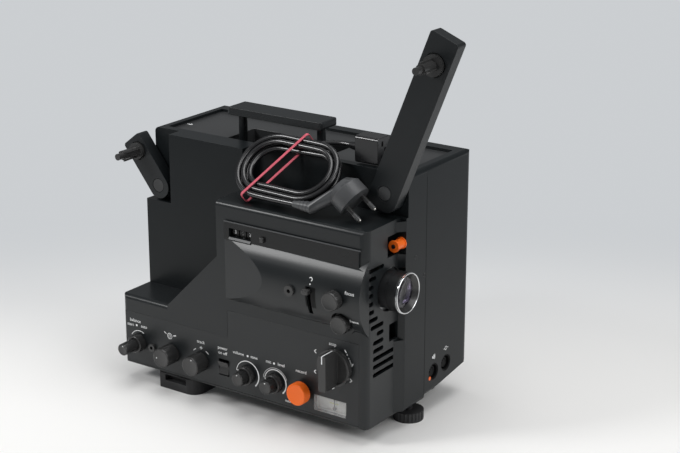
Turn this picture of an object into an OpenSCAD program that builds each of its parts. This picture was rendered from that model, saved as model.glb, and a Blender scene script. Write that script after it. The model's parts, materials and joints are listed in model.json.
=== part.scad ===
// Compact sound film projector with folding reel arms, telescopic handle and a coiled mains lead.
// Lengths in millimetres. X runs to the lens end, Y to the back, Z up. The table is Z = 0.

/* [Body] */
// length of the front housing
front_l = 310; // [290:1:340]
// how far the frame and the rear cover stand past the front housing at the lens end
end_step = 6.8; // [5:0.1:9]
// height of the low control part
panel_h = 77; // [70:1:86]
// height of the film module, which is the shelf
shelf_h = 203; // [195:1:215]
// rise of the frame and the rear cover above the shelf
top_rise = 42.6; // [38:0.1:48]
// left side of the film module
module_x = 129.5; // [120:0.5:140]
// depth of the front housing on its low left part
low_d = 44.5; // [42:0.5:48]
// depth of the front housing on the film module
module_d = 58; // [54:1:61]
// back wall of both arm slots
slot_y = 61.5; // [61.5:0.5:64]
// seam between frame and rear cover
seam_y = 95; // [90:1:100]
// depth of the whole body
body_d = 181; // [172:1:200]
// thickness of the moulded walls
wall = 3; // [2:0.1:4]
// height of the body above the table
foot_h = 18; // [14:0.5:24]

/* [Film module] */
// lens axis behind the front face
axis_y = 41; // [39:0.5:44]
// drop of the lens axis below the shelf
axis_drop = 68; // [64:0.5:72]
// radius of the curved belly around the lens axis
belly_r = 53; // [51:0.5:56]
// radius of the lens opening
lens_hole_r = 22; // [20.5:0.5:24]
// radius of the lens barrel
barrel_r = 19; // [16:0.5:19]
// length of the lens barrel
barrel_l = 41; // [38:1:48]
// rows of cooling slots in the lens end
vent_rows = 14; // [8:1:14]
// step between the cooling slots
vent_step = 8.35; // [7.5:0.05:8.4]
// height of one cooling slot
vent_h = 4.5; // [3:0.1:5.5]

/* [Controls] */
// height of the row of knobs
row_z = 25; // [23:0.5:28]
// radius of the single knobs
knob_r = 10.5; // [8:0.5:12]
// reach of the single knobs
knob_h = 19; // [14:1:24]
// radius of the large dial
dial_r = 19; // [16:0.5:21]
// reach of the grip on the large dial
grip_h = 24; // [18:1:28]
// radius of the orange knob
record_r = 11.5; // [9:0.5:12.5]
// travel of the orange knob
record_travel = 4; // [2:0.5:5]

/* [Reel arms] */
// width of the supply arm
supply_w = 32; // [26:1:34]
// reach of the supply arm past its pivot
supply_l = 171; // [160:1:185]
// lean of the supply arm at rest
supply_tilt = 22; // [15:1:30]
// width of the take-up arm
take_w = 26; // [22:1:27]
// reach of the take-up arm past its pivot
take_l = 58; // [54:1:58]
// lean of the take-up arm at rest
take_tilt = 38; // [30:1:45]
// thickness of both arms
arm_t = 14; // [11:0.5:14.4]

/* [Handle and feet] */
// length of the handle bar
bar_l = 119; // [105:1:121]
// depth of the handle bar
bar_d = 29; // [24:1:32]
// thickness of the handle bar
bar_t = 8; // [6:0.5:10]
// rise of the handle above the body
handle_rise = 31.4; // [26:0.2:34]
// radius of the screw foot
screw_foot_r = 15.5; // [12:0.5:17]

/* [Mains lead] */
// diameter of the lead
lead_d = 5.6; // [5:0.1:5.8]
// clear step between neighbouring turns
lead_gap = 0.7; // [0.6:0.05:1]
// turns of the coil
lead_turns = 4.5; // [3.5:1:4.5]
// half length of the straight runs
lead_run = 22; // [18:1:22]
// lean of the coil on the slot wall
lead_lean = 42; // [41:0.5:43]

/* [Hidden] */
$fn = 48;
// running clearance of turning and sliding parts
run = 0.05;
// open gap between neighbouring parts
gap = 0.4;
// cut overshoot
over = 1;
body_l = front_l + end_step;
top_h = shelf_h + top_rise;
axis_z = shelf_h - axis_drop;
// places along the panel keep their share of its length
share_x = front_l / 310;
arm_y = slot_y - 1.5 - arm_t;
shell_t = 2;
front_in = shell_t + wall;
plate_y = 70;
plate_t = 3;
plate_back = plate_y + plate_t;
roof_z = top_h - wall;
ref_x = 173.62;
ref_y = 76.5;
supply_x = body_l - 17.8;
supply_z = top_h - 17.6;
supply_spindle = supply_l - 29;
take_x = 15;
take_z = shelf_h - 16;
take_spindle = take_l - 15;
ledge_z = take_z - 16;
notch_x = 33;
pin_r = 4;
gusset_x = module_x - 67.5;
shaft_r = 3;
sleeve_r = 5;
spindle_shaft_r = 5;
spindle_reach = 32;
bar_x = body_l / 2 - 71.4;
bar_y = 73.5;
post_r = 4.5;
post_in = 10;
post_y = bar_y + bar_d / 2;
post_drop = 19.5;
guide_l = 15.5;
bar_top = top_h + handle_rise;
well_gap = 3;
well_t = 2.5;
well_floor = top_h - 40.1;
plate_top = well_floor - 9.5;
well_y1 = seam_y + 28.5;
roof_x0 = 11;
roof_x1 = body_l - 11;
roof_y0 = 70;
roof_y1 = body_d - 21;
left_x = 22 * share_x;
left_z = 27;
phones_x = 40.3 * share_x;
tone_x = 66.5 * share_x;
volume_x = 105.5 * share_x;
rocker_x = 135.5 * share_x;
grip_w = 8.5;
rocker_w = 12.4;
rocker_l = 14;
rocker_y = 7;
mix_x = 166 * share_x;
level_x = 201 * share_x;
record_x = 236 * share_x;
dial_x = 275 * share_x;
dial_z = 60;
meter_x0 = 249 * share_x;
meter_x1 = meter_x0 + 38;
meter_z0 = 8;
meter_z1 = 24.3;
meter_mid = (meter_x0 + meter_x1) / 2;
needle_z = meter_z0 + 2.5;
needle_l = 11.5;
strip_x0 = module_x + 10.5;
strip_x1 = front_l - 7.5;
strip_z0 = shelf_h - 38.3;
strip_z1 = shelf_h - 18.7;
strip_t = 1.5;
count_x0 = strip_x0 + 7;
count_x1 = count_x0 + 27.5;
count_z = shelf_h - 29.5;
count_y = 13.5;
wheel_r = 11;
wheel_w = 7.5;
wheel_step = 9;
reset_x = count_x1 + 14.5;
fascia_x1 = front_l - 8;
fascia_low = panel_h - 17.5;
fascia_high = panel_h + 12;
fascia_step = module_x + 11.5;
ramp_x0 = module_x + 10.5;
ramp_x1 = ramp_x0 + 55;
belly_y = axis_y - belly_r;
eyelet_x = front_l - 81;
eyelet_z = axis_z - 2.5;
lever_x = front_l - 59;
lever_w = 4;
lever_drop = 20;
nose_r = 19;
focus_x = front_l - 28;
frame_x = front_l - 24;
frame_z = axis_z - 26;
small_r = 9.5;
small_h = 10;
frame_floor = -2;
lens_x0 = front_l - 20;
barrel_end = lens_x0 + barrel_l;
roller_x = front_l + 2;
roller_z = shelf_h - 25;
roller_r = 5;
gate_x = front_l - 28;
shutter_x = front_l - 46;
shutter_z = axis_z - 23;
shutter_r = 26;
motor_x = 70;
motor_z = 55;
motor_r = 24;
fly_x = front_l - 95;
fly_z = axis_z - 40;
fly_r = 34;
pulley_y0 = 63;
pulley_y1 = 68;
motor_pulley_r = 7;
fly_pulley_r = 20;
sprocket_x = front_l - 42;
sprocket_z = shelf_h - 31;
foot_x = body_l - 11.8;
foot_y = 85;
foot_disc = 10;
din_y = [seam_y + 17.6, seam_y + 41.2];
din_z = [25.5, 27.3];
din_r = 9;
inlet_x = body_l - 54.8;
inlet_z = 62;
inlet_w = 28;
inlet_h = 21;
speaker_x = body_l - 64.8;
speaker_z = 150;
speaker_r = 38;
board_y = body_d - 31;
board_t = 1.6;
board_x0 = 30;
board_x1 = body_l - 116.8;
board_z0 = 42;
board_z1 = shelf_h - 35;
lamp_x = front_l - 104;
core_x = body_l - 78.8;
core_w = 56;
rear_drop = 12.6;
rear_low = 4;
pillars_x = [14, body_l - 14];
pillars_z = [64, well_floor - 5.5];
rear_feet_x = [40, body_l - 39.8];
rear_foot_y = body_d - 21;
rear_foot_r = 11;
coil_x = front_l - 116.4;
coil_y0 = 12.5;
coil_lift = 2.9;
plug_x = coil_x + 26.4;
plug_relief = 22;
plug_face = [coil_x + 85.2, 26, shelf_h + 18.4];
plug_dip = 37;
plug_roll = 33;
plug_head_r = 17.5;
bend_x0 = coil_x + 7.4;
bend_x1 = bend_x0 + 33;
cone_x = bend_x1 + 6;
cone_dy = 7.6;
cone_dz = 2.6;
cone_relief = 12;
cone_l = 27;
cone_w = 20;
cone_hh = 27;
band_u = -15.5;
band_skew = 25;
band_w = 3;
band_t = 0.9;
band_corner = 2.6;
lead_r = lead_d / 2;
lead_pitch = lead_d + lead_gap;
lead_mid = lead_turns / 2;
lead_in = 4 * lead_d + 0.2;
// share of a half turn on either side of its bend that runs straight
lead_straight = 1 / 6;
lead_out = lead_in + lead_pitch * lead_mid;
coil_v = [0, cos(lead_lean), sin(lead_lean)];
coil_w = [0, -sin(lead_lean), cos(lead_lean)];
coil_c = [coil_x, coil_y0, shelf_h + lead_r + coil_lift] + lead_out * coil_v;
lead_steps = 24;
lead_sides = 6;

// Moves the corner frame of the body to the frame of the part.
module place() {
    translate([-ref_x, -ref_y, foot_h]) children();
}

// Plain block between two corners.
module box(x0, x1, y0, y1, z0, z1) {
    translate([x0, y0, z0]) cube([x1 - x0, y1 - y0, z1 - z0]);
}

// Round bar along X.
module bar_along_x(r, x0, x1, y, z) {
    translate([x0, y, z]) rotate([0, 90, 0]) cylinder(r = r, h = x1 - x0);
}

// Round bar along Y.
module bar_along_y(r, y0, y1, x, z) {
    translate([x, y0, z]) rotate([-90, 0, 0]) cylinder(r = r, h = y1 - y0);
}

// Round bar along Z.
module bar_along_z(r, z0, z1, x, y) {
    translate([x, y, z0]) cylinder(r = r, h = z1 - z0);
}

// Sharp corner piece outside a rounding, for cutting, with its corner at the origin.
module corner_piece(r) {
    difference() {
        translate([-over, -over]) square(r + over);
        translate([r, r]) circle(r);
    }
}

// Rectangle with four round corners.
module round_rect(w, h, r) {
    translate([r, 0]) square([w - 2 * r, h]);
    translate([0, r]) square([w, h - 2 * r]);
    for (x = [r, w - r], y = [r, h - r]) translate([x, y]) circle(r);
}

// Extrudes an outline drawn in X and Z along Y.
module along_y(y0, y1) {
    translate([0, y1, 0]) rotate([90, 0, 0]) linear_extrude(y1 - y0) children();
}

// Extrudes an outline drawn in Y and Z along X.
module along_x(x0, x1) {
    translate([x0, 0, 0]) rotate([90, 0, 90]) linear_extrude(x1 - x0) children();
}

// Front view of the front housing with its gusset beside the film module.
module housing_front() {
    rise = module_x - gusset_x;
    polygon([[0, 0], [front_l, 0], [front_l, shelf_h], [module_x, shelf_h],
        [module_x, panel_h + rise], [gusset_x, panel_h], [0, panel_h]]);
}

// Top view of the front housing with its rounded front corners.
module housing_top() {
    difference() {
        union() {
            square([module_x, low_d]);
            translate([module_x, 0]) square([front_l - module_x, module_d]);
        }
        corner_piece(6);
        translate([front_l, 0]) rotate(90) corner_piece(8);
    }
}

// Convex belly of the film module, with a flat ramp at its left end.
module belly(r, x0, x1) {
    difference() {
        intersection() {
            bar_along_x(r, x0, x1, axis_y, axis_z, $fn = 96);
            box(x0, x1, axis_y - r - over, front_in, axis_z - 45, axis_z + 45);
        }
        linear_extrude(shelf_h) polygon([[ramp_x0 - over, 0], [ramp_x0, 0], [ramp_x1, belly_y],
            [ramp_x1, belly_y - 5], [ramp_x0 - over, belly_y - 5]]);
    }
}

// Clear depth of a vent row: the upper rows run between two circles about the lens.
function vent_in(z) = let (d = abs(z - axis_z)) d < 44
    ? axis_y - sqrt(pow(45.5, 2) - pow(d, 2)) : 12;
function vent_out(z, i) = let (d = abs(z - axis_z))
    i > 10 ? 49.5 : d < 27 ? axis_y - sqrt(pow(31, 2) - pow(d, 2)) : 30;

module vent_slots() {
    for (i = [0 : vent_rows - 1]) {
        z = axis_z + 27.5 - i * vent_step;
        y0 = max(vent_in(z), 4.5);
        y1 = max(vent_out(z, i), y0 + vent_h + 3);
        translate([0, y0, z - vent_h / 2]) along_x(front_l - wall - over, front_l + over)
            round_rect(y1 - y0, vent_h, vent_h / 2.01);
    }
}

// Openings for the shafts behind the fascia.
module control_holes(r_double, r_single, y0, y1) {
    bar_along_y(r_double, y0, y1, left_x, left_z);
    for (x = [mix_x, level_x, record_x]) bar_along_y(r_double, y0, y1, x, row_z);
    for (x = [tone_x, volume_x, phones_x]) bar_along_y(r_single, y0, y1, x, row_z);
    bar_along_y(r_single + 1, y0, y1, dial_x, dial_z);
    rocker_hole(y0, y1);
    box(meter_x0, meter_x1, y0, y1, meter_z0, meter_z1);
}

module rocker_hole(y0, y1) {
    box(rocker_x - rocker_w / 2 - gap, rocker_x + rocker_w / 2 + gap, y0, y1,
        row_z - rocker_l / 2 - 2, row_z + rocker_l / 2 + 2);
}

module fascia_outline(margin) {
    translate([wall + margin, wall + margin])
        square([fascia_x1 - wall - 2 * margin, fascia_low - wall - 2 * margin]);
    translate([fascia_step + margin, wall + margin])
        square([fascia_x1 - fascia_step - 2 * margin, fascia_high - wall - 2 * margin]);
}

module housing_outer() {
    difference() {
        intersection() {
            along_y(0, module_d) housing_front();
            linear_extrude(shelf_h) housing_top();
        }
        translate([0, 0, shelf_h]) along_x(module_x - over, front_l + over) mirror([0, 1]) corner_piece(5);
        translate([0, 0, panel_h]) along_x(-over, gusset_x) mirror([0, 1]) corner_piece(5);
        along_x(-over, front_l + over) corner_piece(2.5);
    }
    belly(belly_r, ramp_x0, front_l);
    along_y(-strip_t, front_in) translate([strip_x0, strip_z0])
        round_rect(strip_x1 - strip_x0, strip_z1 - strip_z0, 3);
}

module housing_cavity() {
    box(wall, module_x + wall + over, front_in, low_d + over, wall, panel_h - wall);
    box(module_x + wall, front_l - wall, front_in, module_d + over, wall, shelf_h - wall);
    along_y(front_in, low_d + over) polygon([[gusset_x + 12, panel_h - wall - over],
        [module_x + wall + over, panel_h - wall - over], [module_x + wall + over, panel_h + 57],
        [module_x - wall, panel_h + 57]]);
    belly(belly_r - wall, ramp_x1 + wall, front_l - wall);
}

// Cheeks that carry the pivot stubs of the rocker.
module rocker_cheeks() {
    for (s = [-1, 1]) {
        x = rocker_x + s * (rocker_w / 2 + gap + 1.5);
        box(x - 1.5, x + 1.5, front_in - over, rocker_y + 3, row_z - 3.5, row_z + 3.5);
    }
}

module front_housing() {
    color("#26262a") place() difference() {
        union() {
            difference() {
                housing_outer();
                housing_cavity();
            }
            bar_along_y(13, frame_floor, 4, frame_x, frame_z);
            rocker_cheeks();
        }
        along_y(-over, shell_t) fascia_outline(0);
        control_holes(6.5, 4, shell_t - over, front_in + over);
        bar_along_x(1.5 + run, rocker_x - 12, rocker_x + 12, rocker_y, row_z);
        vent_slots();
        bar_along_x(lens_hole_r, front_l - wall - over, front_l + over, axis_y, axis_z);
        box(front_l - wall - over, front_l + over, 40, 55, panel_h + 3.5, panel_h + 21.5);
        box(front_l - 8, front_l + over, 36, module_d + over, roller_z - 10, roller_z + 11);
        box(count_x0, count_x1, -strip_t - over, front_in + over, count_z - 4.5, count_z + 4.5);
        box(count_x0 - 1, count_x1 + 0.8, 2.3, front_in + over, count_z - 12, count_z + 12);
        box(reset_x - 2.3, reset_x + 2.3, -strip_t - over, front_in + over, count_z - 2.8, count_z + 2.8);
        bar_along_y(4 + run, belly_y - over, front_in, eyelet_x, eyelet_z);
        box(lever_x - lever_w / 2 - gap, lever_x + lever_w / 2 + gap, belly_y - over, front_in + over,
            axis_z - lever_drop - 3, axis_z + 6);
        bar_along_y(shaft_r + run, belly_y - over, front_in + over, focus_x, axis_z);
        bar_along_y(12, belly_y - over, frame_floor, frame_x, frame_z);
        bar_along_y(shaft_r + run, belly_y - over, front_in + over, frame_x, frame_z);
        box(33, 37, low_d - 10, low_d + over, -over, 2);
    }
}

module control_fascia() {
    color("#1d1d20") place() difference() {
        along_y(0, shell_t) fascia_outline(0.2);
        control_holes(sleeve_r + run, shaft_r + run, -over, shell_t + over);
    }
}

// Outer solid of the frame, with the arm slot and the take-up notch left open.
module frame_outer() {
    difference() {
        intersection() {
            box(0, body_l, low_d, seam_y, 0, top_h);
            along_y(low_d, seam_y) round_rect(body_l, top_h, 5);
        }
        box(module_x, body_l + over, low_d - over, module_d, -over, shelf_h);
        box(module_x, body_l + over, low_d - over, slot_y, shelf_h, top_h + over);
        box(-over, notch_x, low_d - over, slot_y, ledge_z, top_h + over);
    }
}

module frame_cavity() {
    in_y = low_d + wall;
    box(notch_x + wall, module_x - wall, in_y, seam_y + over, wall, roof_z);
    box(wall, notch_x + wall + over, in_y, seam_y + over, wall, ledge_z - wall);
    box(wall, notch_x + wall + over, slot_y + wall, seam_y + over, wall, roof_z);
    box(module_x - wall - over, body_l - wall, module_d + wall, seam_y + over, wall, shelf_h - wall);
    box(module_x - wall - over, body_l - wall, slot_y + wall, seam_y + over, wall, roof_z);
}

module main_frame() {
    boss_x = [20, body_l - 20.8];
    color("#202023") place() difference() {
        union() {
            difference() {
                frame_outer();
                frame_cavity();
            }
            for (z = [20, 150]) bar_along_y(5, low_d + wall - over, plate_y, boss_x[0], z);
            for (z = [20, shelf_h - 23]) bar_along_y(5, module_d + wall - over, plate_y, boss_x[1], z);
            bar_along_z(8, over, 16, foot_x, foot_y);
            bar_along_y(2, 42, module_d + over, roller_x, roller_z);
        }
        box(roof_x0, roof_x1, roof_y0, seam_y + over, roof_z - over, top_h + over);
        box(module_x + 20.5, front_l - 22, module_d - over, module_d + wall + over, 50, shelf_h - wall);
        bar_along_x(lens_hole_r + 2, front_l - 30, front_l, axis_y, axis_z);
        bar_along_x(lens_hole_r, front_l - over, body_l + over, axis_y, axis_z);
        bar_along_y(pin_r + run, slot_y - over, slot_y + wall + over, supply_x, supply_z);
        bar_along_y(pin_r + run, slot_y - over, slot_y + wall + over, take_x, take_z);
        bar_along_z(pin_r + run, -over, 17, foot_x, foot_y);
        box(body_l - wall - over, body_l + over, foot_y - 9, foot_y + 9, -over, 2);
        box(33, 37, low_d - over, low_d + wall + over, -over, 2);
    }
}

// Side view of the rear cover: flat roof, rising underside, rounded back edges.
module rear_side(t) {
    difference() {
        polygon([[seam_y - (t > 0 ? over : 0), rear_low + t], [body_d - t, rear_low + rear_drop + t],
            [body_d - t, top_h - t], [seam_y - (t > 0 ? over : 0), top_h - t]]);
        translate([body_d - t, top_h - t]) rotate(180) corner_piece(9);
        translate([body_d - t, rear_low + rear_drop + t]) rotate(90) corner_piece(7);
    }
}

module rear_outer() {
    intersection() {
        along_x(0, body_l) rear_side(0);
        along_y(seam_y, body_d) translate([0, rear_low]) round_rect(body_l, top_h - rear_low, 5);
        linear_extrude(top_h + over) difference() {
            translate([0, seam_y - over]) square([body_l, body_d - seam_y + over]);
            translate([0, body_d]) rotate(-90) corner_piece(10);
            translate([body_l, body_d]) rotate(180) corner_piece(10);
        }
    }
}

module rear_cover() {
    board_x = [36, 194];
    board_z = [48, 162];
    color("#242427") place() difference() {
        union() {
            difference() {
                rear_outer();
                intersection() {
                    along_x(wall, body_l - wall) rear_side(wall);
                    linear_extrude(top_h) difference() {
                        translate([0, seam_y - 2 * over]) square([body_l, body_d]);
                        translate([wall, body_d - wall]) rotate(-90) corner_piece(8);
                        translate([body_l - wall, body_d - wall]) rotate(180) corner_piece(8);
                    }
                }
            }
            for (x = pillars_x, z = pillars_z) bar_along_y(6.5, body_d - 13, body_d - wall + over, x, z);
            for (x = board_x, z = board_z) bar_along_y(4, board_y + board_t, body_d - wall + over, x, z);
        }
        box(roof_x0, roof_x1, seam_y - over, roof_y1, roof_z - over, top_h + over);
        for (x = pillars_x, z = pillars_z) {
            bar_along_y(4.6, body_d - 8, body_d + over, x, z);
            bar_along_y(2 + run, body_d - 14, body_d, x, z);
        }
        for (i = [0, 1]) bar_along_x(din_r + run, body_l - wall - over, body_l + over, din_y[i], din_z[i]);
        box(inlet_x - inlet_w / 2 - 0.1, inlet_x + inlet_w / 2 + 0.1, body_d - wall - over, body_d + over,
            inlet_z - inlet_h / 2 - 0.1, inlet_z + inlet_h / 2 + 0.1);
        for (i = [-4 : 4]) {
            half = sqrt(pow(speaker_r - 4, 2) - pow(i * 7, 2));
            along_y(body_d - wall - over, body_d + over)
                translate([speaker_x + i * 7 - 1.75, speaker_z - half]) round_rect(3.5, 2 * half, 1.74);
        }
        for (i = [0 : 8]) along_y(body_d - wall - over, body_d + over)
            translate([60 + i * 12, top_h - 55.6]) round_rect(4, 32, 1.99);
    }
}

module top_panel() {
    x0 = bar_x - well_gap;
    x1 = bar_x + bar_l + well_gap;
    y0 = bar_y - well_gap + 1;
    color("#1f1f22") place() difference() {
        union() {
            box(roof_x0 - 4, roof_x1 + 4, 66, roof_y1 + 4, roof_z - wall, roof_z);
            box(x0 - well_t, x1 + well_t, y0 - well_t, well_y1 + well_t, well_floor - well_t, roof_z - over);
            for (x = [bar_x + post_in, bar_x + bar_l - post_in])
                bar_along_z(8, well_floor - guide_l, well_floor - over, x, post_y);
        }
        box(x0, x1, y0, well_y1, well_floor, roof_z + over);
        for (x = [bar_x + post_in, bar_x + bar_l - post_in])
            bar_along_z(post_r + run, well_floor - guide_l - over, well_floor + over, x, post_y);
    }
}

// Steel plate that carries the drive, with pillars for the rear cover and the shutter bearing.
module mechanism_plate() {
    color("#a9abad") place() difference() {
        union() {
            box(8, body_l - 9, plate_y, plate_back, 5, plate_top);
            for (x = pillars_x, z = pillars_z) bar_along_y(4, plate_y, body_d - 13, x, z);
            for (x = pillars_x) box(x - 5, x + 5, plate_y, plate_back, plate_top - 6, well_floor - 0.5);
            box(shutter_x + 5, shutter_x + 11, axis_y - 5, plate_y + over, shutter_z - 5, shutter_z + 5);
        }
        for (x = pillars_x, z = pillars_z) bar_along_y(2 + run, body_d - 26, body_d, x, z);
        bar_along_x(2 + run, shutter_x + 4, shutter_x + 12, axis_y, shutter_z);
        bar_along_y(shaft_r + run, plate_y - over, plate_back + over, fly_x, fly_z);
        bar_along_y(shaft_r + run, plate_y - over, plate_back + over, motor_x, motor_z);
        bar_along_y(2.5 + run, plate_y - over, plate_back + over, sprocket_x, sprocket_z);
    }
}

// Fixed feet: a moulded block at the front left and two round ones at the back.
module feet() {
    color("#161618") place() {
        difference() {
            translate([46, 1, -foot_h]) linear_extrude(foot_h) difference() {
                square([51, 36]);
                corner_piece(3);
                translate([51, 0]) rotate(90) corner_piece(13);
                translate([51, 36]) rotate(180) corner_piece(6);
                translate([0, 36]) rotate(-90) corner_piece(6);
            }
            box(55, 83, 0, 8, -9, -2);
            box(45, 98, 0, 2.2, -1.2, over);
        }
        for (x = rear_feet_x) intersection() {
            bar_along_z(rear_foot_r, -foot_h, 30, x, rear_foot_y);
            along_x(x - 20, x + 20) polygon([[seam_y, -foot_h], [body_d, -foot_h],
                [body_d, rear_low + rear_drop], [seam_y, rear_low]]);
        }
    }
}

module screw_foot() {
    color("#18181a") place() {
        difference() {
            bar_along_z(screw_foot_r, -foot_h, foot_disc - foot_h, foot_x, foot_y);
            for (a = [0 : 15 : 345]) translate([foot_x, foot_y, -foot_h + 2]) rotate(a)
                translate([screw_foot_r + 0.4, 0, 0]) cylinder(r = 1, h = foot_disc, $fn = 16);
        }
        bar_along_z(pin_r, foot_disc - foot_h - over, 13, foot_x, foot_y);
    }
}

// Flat reel arm standing on its pivot, with a recessed face and bores for pivot and spindle.
module reel_arm(w, reach, tail, tail_r, at, seat_r) {
    difference() {
        along_y(arm_y, arm_y + arm_t) difference() {
            translate([-w / 2, -tail]) square([w, reach + tail]);
            translate([-w / 2, -tail]) corner_piece(tail_r);
            translate([w / 2, -tail]) rotate(90) corner_piece(tail_r);
            translate([w / 2, reach]) rotate(180) corner_piece(3);
            translate([-w / 2, reach]) rotate(-90) corner_piece(3);
        }
        bar_along_y(pin_r + run, arm_y - over, arm_y + arm_t + over, 0, 0);
        bar_along_y(spindle_shaft_r + run, arm_y - over, arm_y + arm_t - 2, 0, at);
        bar_along_y(seat_r + 1, arm_y - over, arm_y + 1.5, 0, at);
        bar_along_y(7.5, arm_y - over, arm_y + 2, 0, 0);
    }
}

module supply_arm() {
    color("#1c1c1f") place() translate([supply_x, 0, supply_z]) rotate([0, supply_tilt, 0])
        reel_arm(supply_w, supply_l, supply_w / 2 + 2, 12, supply_spindle, 10.5);
}

module take_up_arm() {
    color("#1c1c1f") place() translate([take_x, 0, take_z]) rotate([0, -take_tilt, 0])
        reel_arm(take_w, take_l, take_w / 2 + 1, take_w / 2 - 0.5, take_spindle, 9);
}

// Reel spindle with a flange, a stepped stem and three drive lugs.
module spindle(at, flange_r, stem_r, lug) {
    front = arm_y - spindle_reach;
    bar_along_y(flange_r, arm_y - 4, arm_y + 1.1, 0, at);
    bar_along_y(spindle_shaft_r, arm_y, arm_y + arm_t - 2.4, 0, at);
    bar_along_y(stem_r, front + 8, arm_y - 3, 0, at);
    bar_along_y(stem_r - 1.5, front, arm_y - 3, 0, at);
    for (a = [0, 120, 240]) translate([0, 0, at]) rotate([0, a, 0])
        box(stem_r - 2, stem_r + lug, front + 9, arm_y - 3, -0.8, 0.8);
}

module supply_spindle() {
    color("#2b2b2e") place() translate([supply_x, 0, supply_z]) rotate([0, supply_tilt, 0])
        spindle(supply_spindle, 10.5, 5.2, 1.6);
}

module take_up_spindle() {
    color("#2b2b2e") place() translate([take_x, 0, take_z]) rotate([0, -take_tilt, 0])
        spindle(take_spindle, 9, 5, 1.6);
}

module arm_pivots() {
    color("#b9bbbd") place() for (p = [[supply_x, supply_z], [take_x, take_z]]) {
        bar_along_y(pin_r, arm_y + 0.5, slot_y + wall, p[0], p[1]);
        bar_along_y(7, arm_y + 0.3, arm_y + 1.6, p[0], p[1]);
    }
}

module carry_handle() {
    color("#1a1a1c") place() {
        intersection() {
            along_y(bar_y, bar_y + bar_d) translate([bar_x, bar_top - bar_t]) round_rect(bar_l, bar_t, 2.5);
            translate([bar_x, bar_y, bar_top - bar_t]) linear_extrude(bar_t) round_rect(bar_l, bar_d, 4);
        }
        for (x = [bar_x + post_in, bar_x + bar_l - post_in])
            bar_along_z(post_r, well_floor - post_drop, bar_top - bar_t + over, x, post_y);
    }
}

// Round cap with a waist ring and its shaft through the fascia.
module plain_knob(x, z, r, h, shaft) {
    bar_along_y(r, -h, -h * 0.35, x, z);
    bar_along_y(r - 0.6, -h * 0.4, -gap, x, z);
    bar_along_y(shaft, -over, 14, x, z);
}

// Outer ring of a double knob with its hollow sleeve.
module double_outer(x, z, r, h) {
    difference() {
        union() {
            bar_along_y(r, -h, -gap, x, z);
            bar_along_y(sleeve_r, -over, 12, x, z);
        }
        bar_along_y(shaft_r + run, -h - over, 13, x, z);
    }
}

// Inner cap of a double knob with its long shaft.
module double_inner(x, z, r, y0, y1) {
    bar_along_y(r, -y1, -y0 - gap, x, z);
    bar_along_y(shaft_r, -y1 + over, 17, x, z);
}

module left_knob_outer() {
    color("#1a1a1c") place() double_outer(left_x, left_z, 9.5, 10);
}

module left_knob_inner() {
    color("#1a1a1c") place() {
        double_inner(left_x, left_z, 5, 10, 22);
        bar_along_y(6.4, -28, -20, left_x, left_z);
    }
}

module tone_knob() {
    color("#1a1a1c") place() plain_knob(tone_x, row_z, knob_r, knob_h, shaft_r);
}

module volume_knob() {
    color("#1a1a1c") place() plain_knob(volume_x, row_z, knob_r, knob_h, shaft_r);
}

module power_rocker() {
    color("#151517") place() {
        along_x(rocker_x - rocker_w / 2, rocker_x + rocker_w / 2) polygon([[-1.2, row_z - rocker_l / 2],
            [0.6, row_z], [-2.8, row_z + rocker_l / 2], [rocker_y + 2, row_z + 2.5],
            [rocker_y + 2, row_z - 2.5]]);
        bar_along_x(1.5, rocker_x - rocker_w / 2 - 2.5, rocker_x + rocker_w / 2 + 2.5, rocker_y, row_z);
    }
}

module mix_knob_outer() {
    color("#1a1a1c") place() double_outer(mix_x, row_z, 10, 8);
}

module mix_knob_inner() {
    color("#1a1a1c") place() double_inner(mix_x, row_z, 7.2, 8, 18);
}

module level_knob_outer() {
    color("#1a1a1c") place() double_outer(level_x, row_z, 10, 8);
}

module level_knob_inner() {
    color("#1a1a1c") place() double_inner(level_x, row_z, 7.2, 8, 18);
}

module record_knob() {
    color("#e0621f") place() {
        bar_along_y(record_r, -14, -record_travel - gap, record_x, row_z);
        bar_along_y(sleeve_r, -6, 13, record_x, row_z);
    }
}

module function_dial() {
    color("#151517") place() {
        difference() {
            bar_along_y(dial_r, -6, -gap, dial_x, dial_z);
            bar_along_y(dial_r - 2.5, -7, -4, dial_x, dial_z);
        }
        intersection() {
            bar_along_y(dial_r - 0.5, -grip_h, -gap, dial_x, dial_z);
            translate([dial_x - grip_w / 2, 0, dial_z - dial_r]) along_y(-grip_h, -2)
                round_rect(grip_w, 2 * dial_r, 2);
        }
        bar_along_y(shaft_r + 1, -over, 14, dial_x, dial_z);
    }
}

module level_meter() {
    color("#c3c5c4") place() difference() {
        box(meter_x0 - 2, meter_x1 + 2, front_in, front_in + 15, meter_z0 - 2, meter_z1 + 2);
        box(meter_x0, meter_x1, front_in - over, front_in + 4, meter_z0, meter_z1);
        bar_along_y(1 + run, front_in, front_in + 8, meter_mid, needle_z);
    }
}

module meter_needle() {
    color("#1b1b1b") place() {
        box(meter_mid - 0.4, meter_mid + 0.4, front_in + 2, front_in + 2.8, needle_z, needle_z + needle_l);
        bar_along_y(2, front_in + 2, front_in + 3, meter_mid, needle_z);
        bar_along_y(1, front_in + 2.5, front_in + 7, meter_mid, needle_z);
    }
}

module counter_axle() {
    ends = [count_x0 - 3, count_x1 + 2];
    color("#b4b6b8") place() {
        bar_along_x(2, ends[0] - over, ends[1] + 2, count_y, count_z);
        for (x = ends) box(x - over, x + 1.5, front_in, count_y + 5, count_z - 7, count_z + 7);
    }
}

// One number wheel of the film counter.
module number_wheel(i) {
    x = count_x0 + 1.6 + i * wheel_step;
    difference() {
        bar_along_x(wheel_r, x, x + wheel_w, count_y, count_z);
        bar_along_x(2 + run, x - over, x + wheel_w + over, count_y, count_z);
    }
}

module counter_units() {
    color("#d9d9d6") place() number_wheel(2);
}

module counter_tens() {
    color("#d9d9d6") place() number_wheel(1);
}

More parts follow.
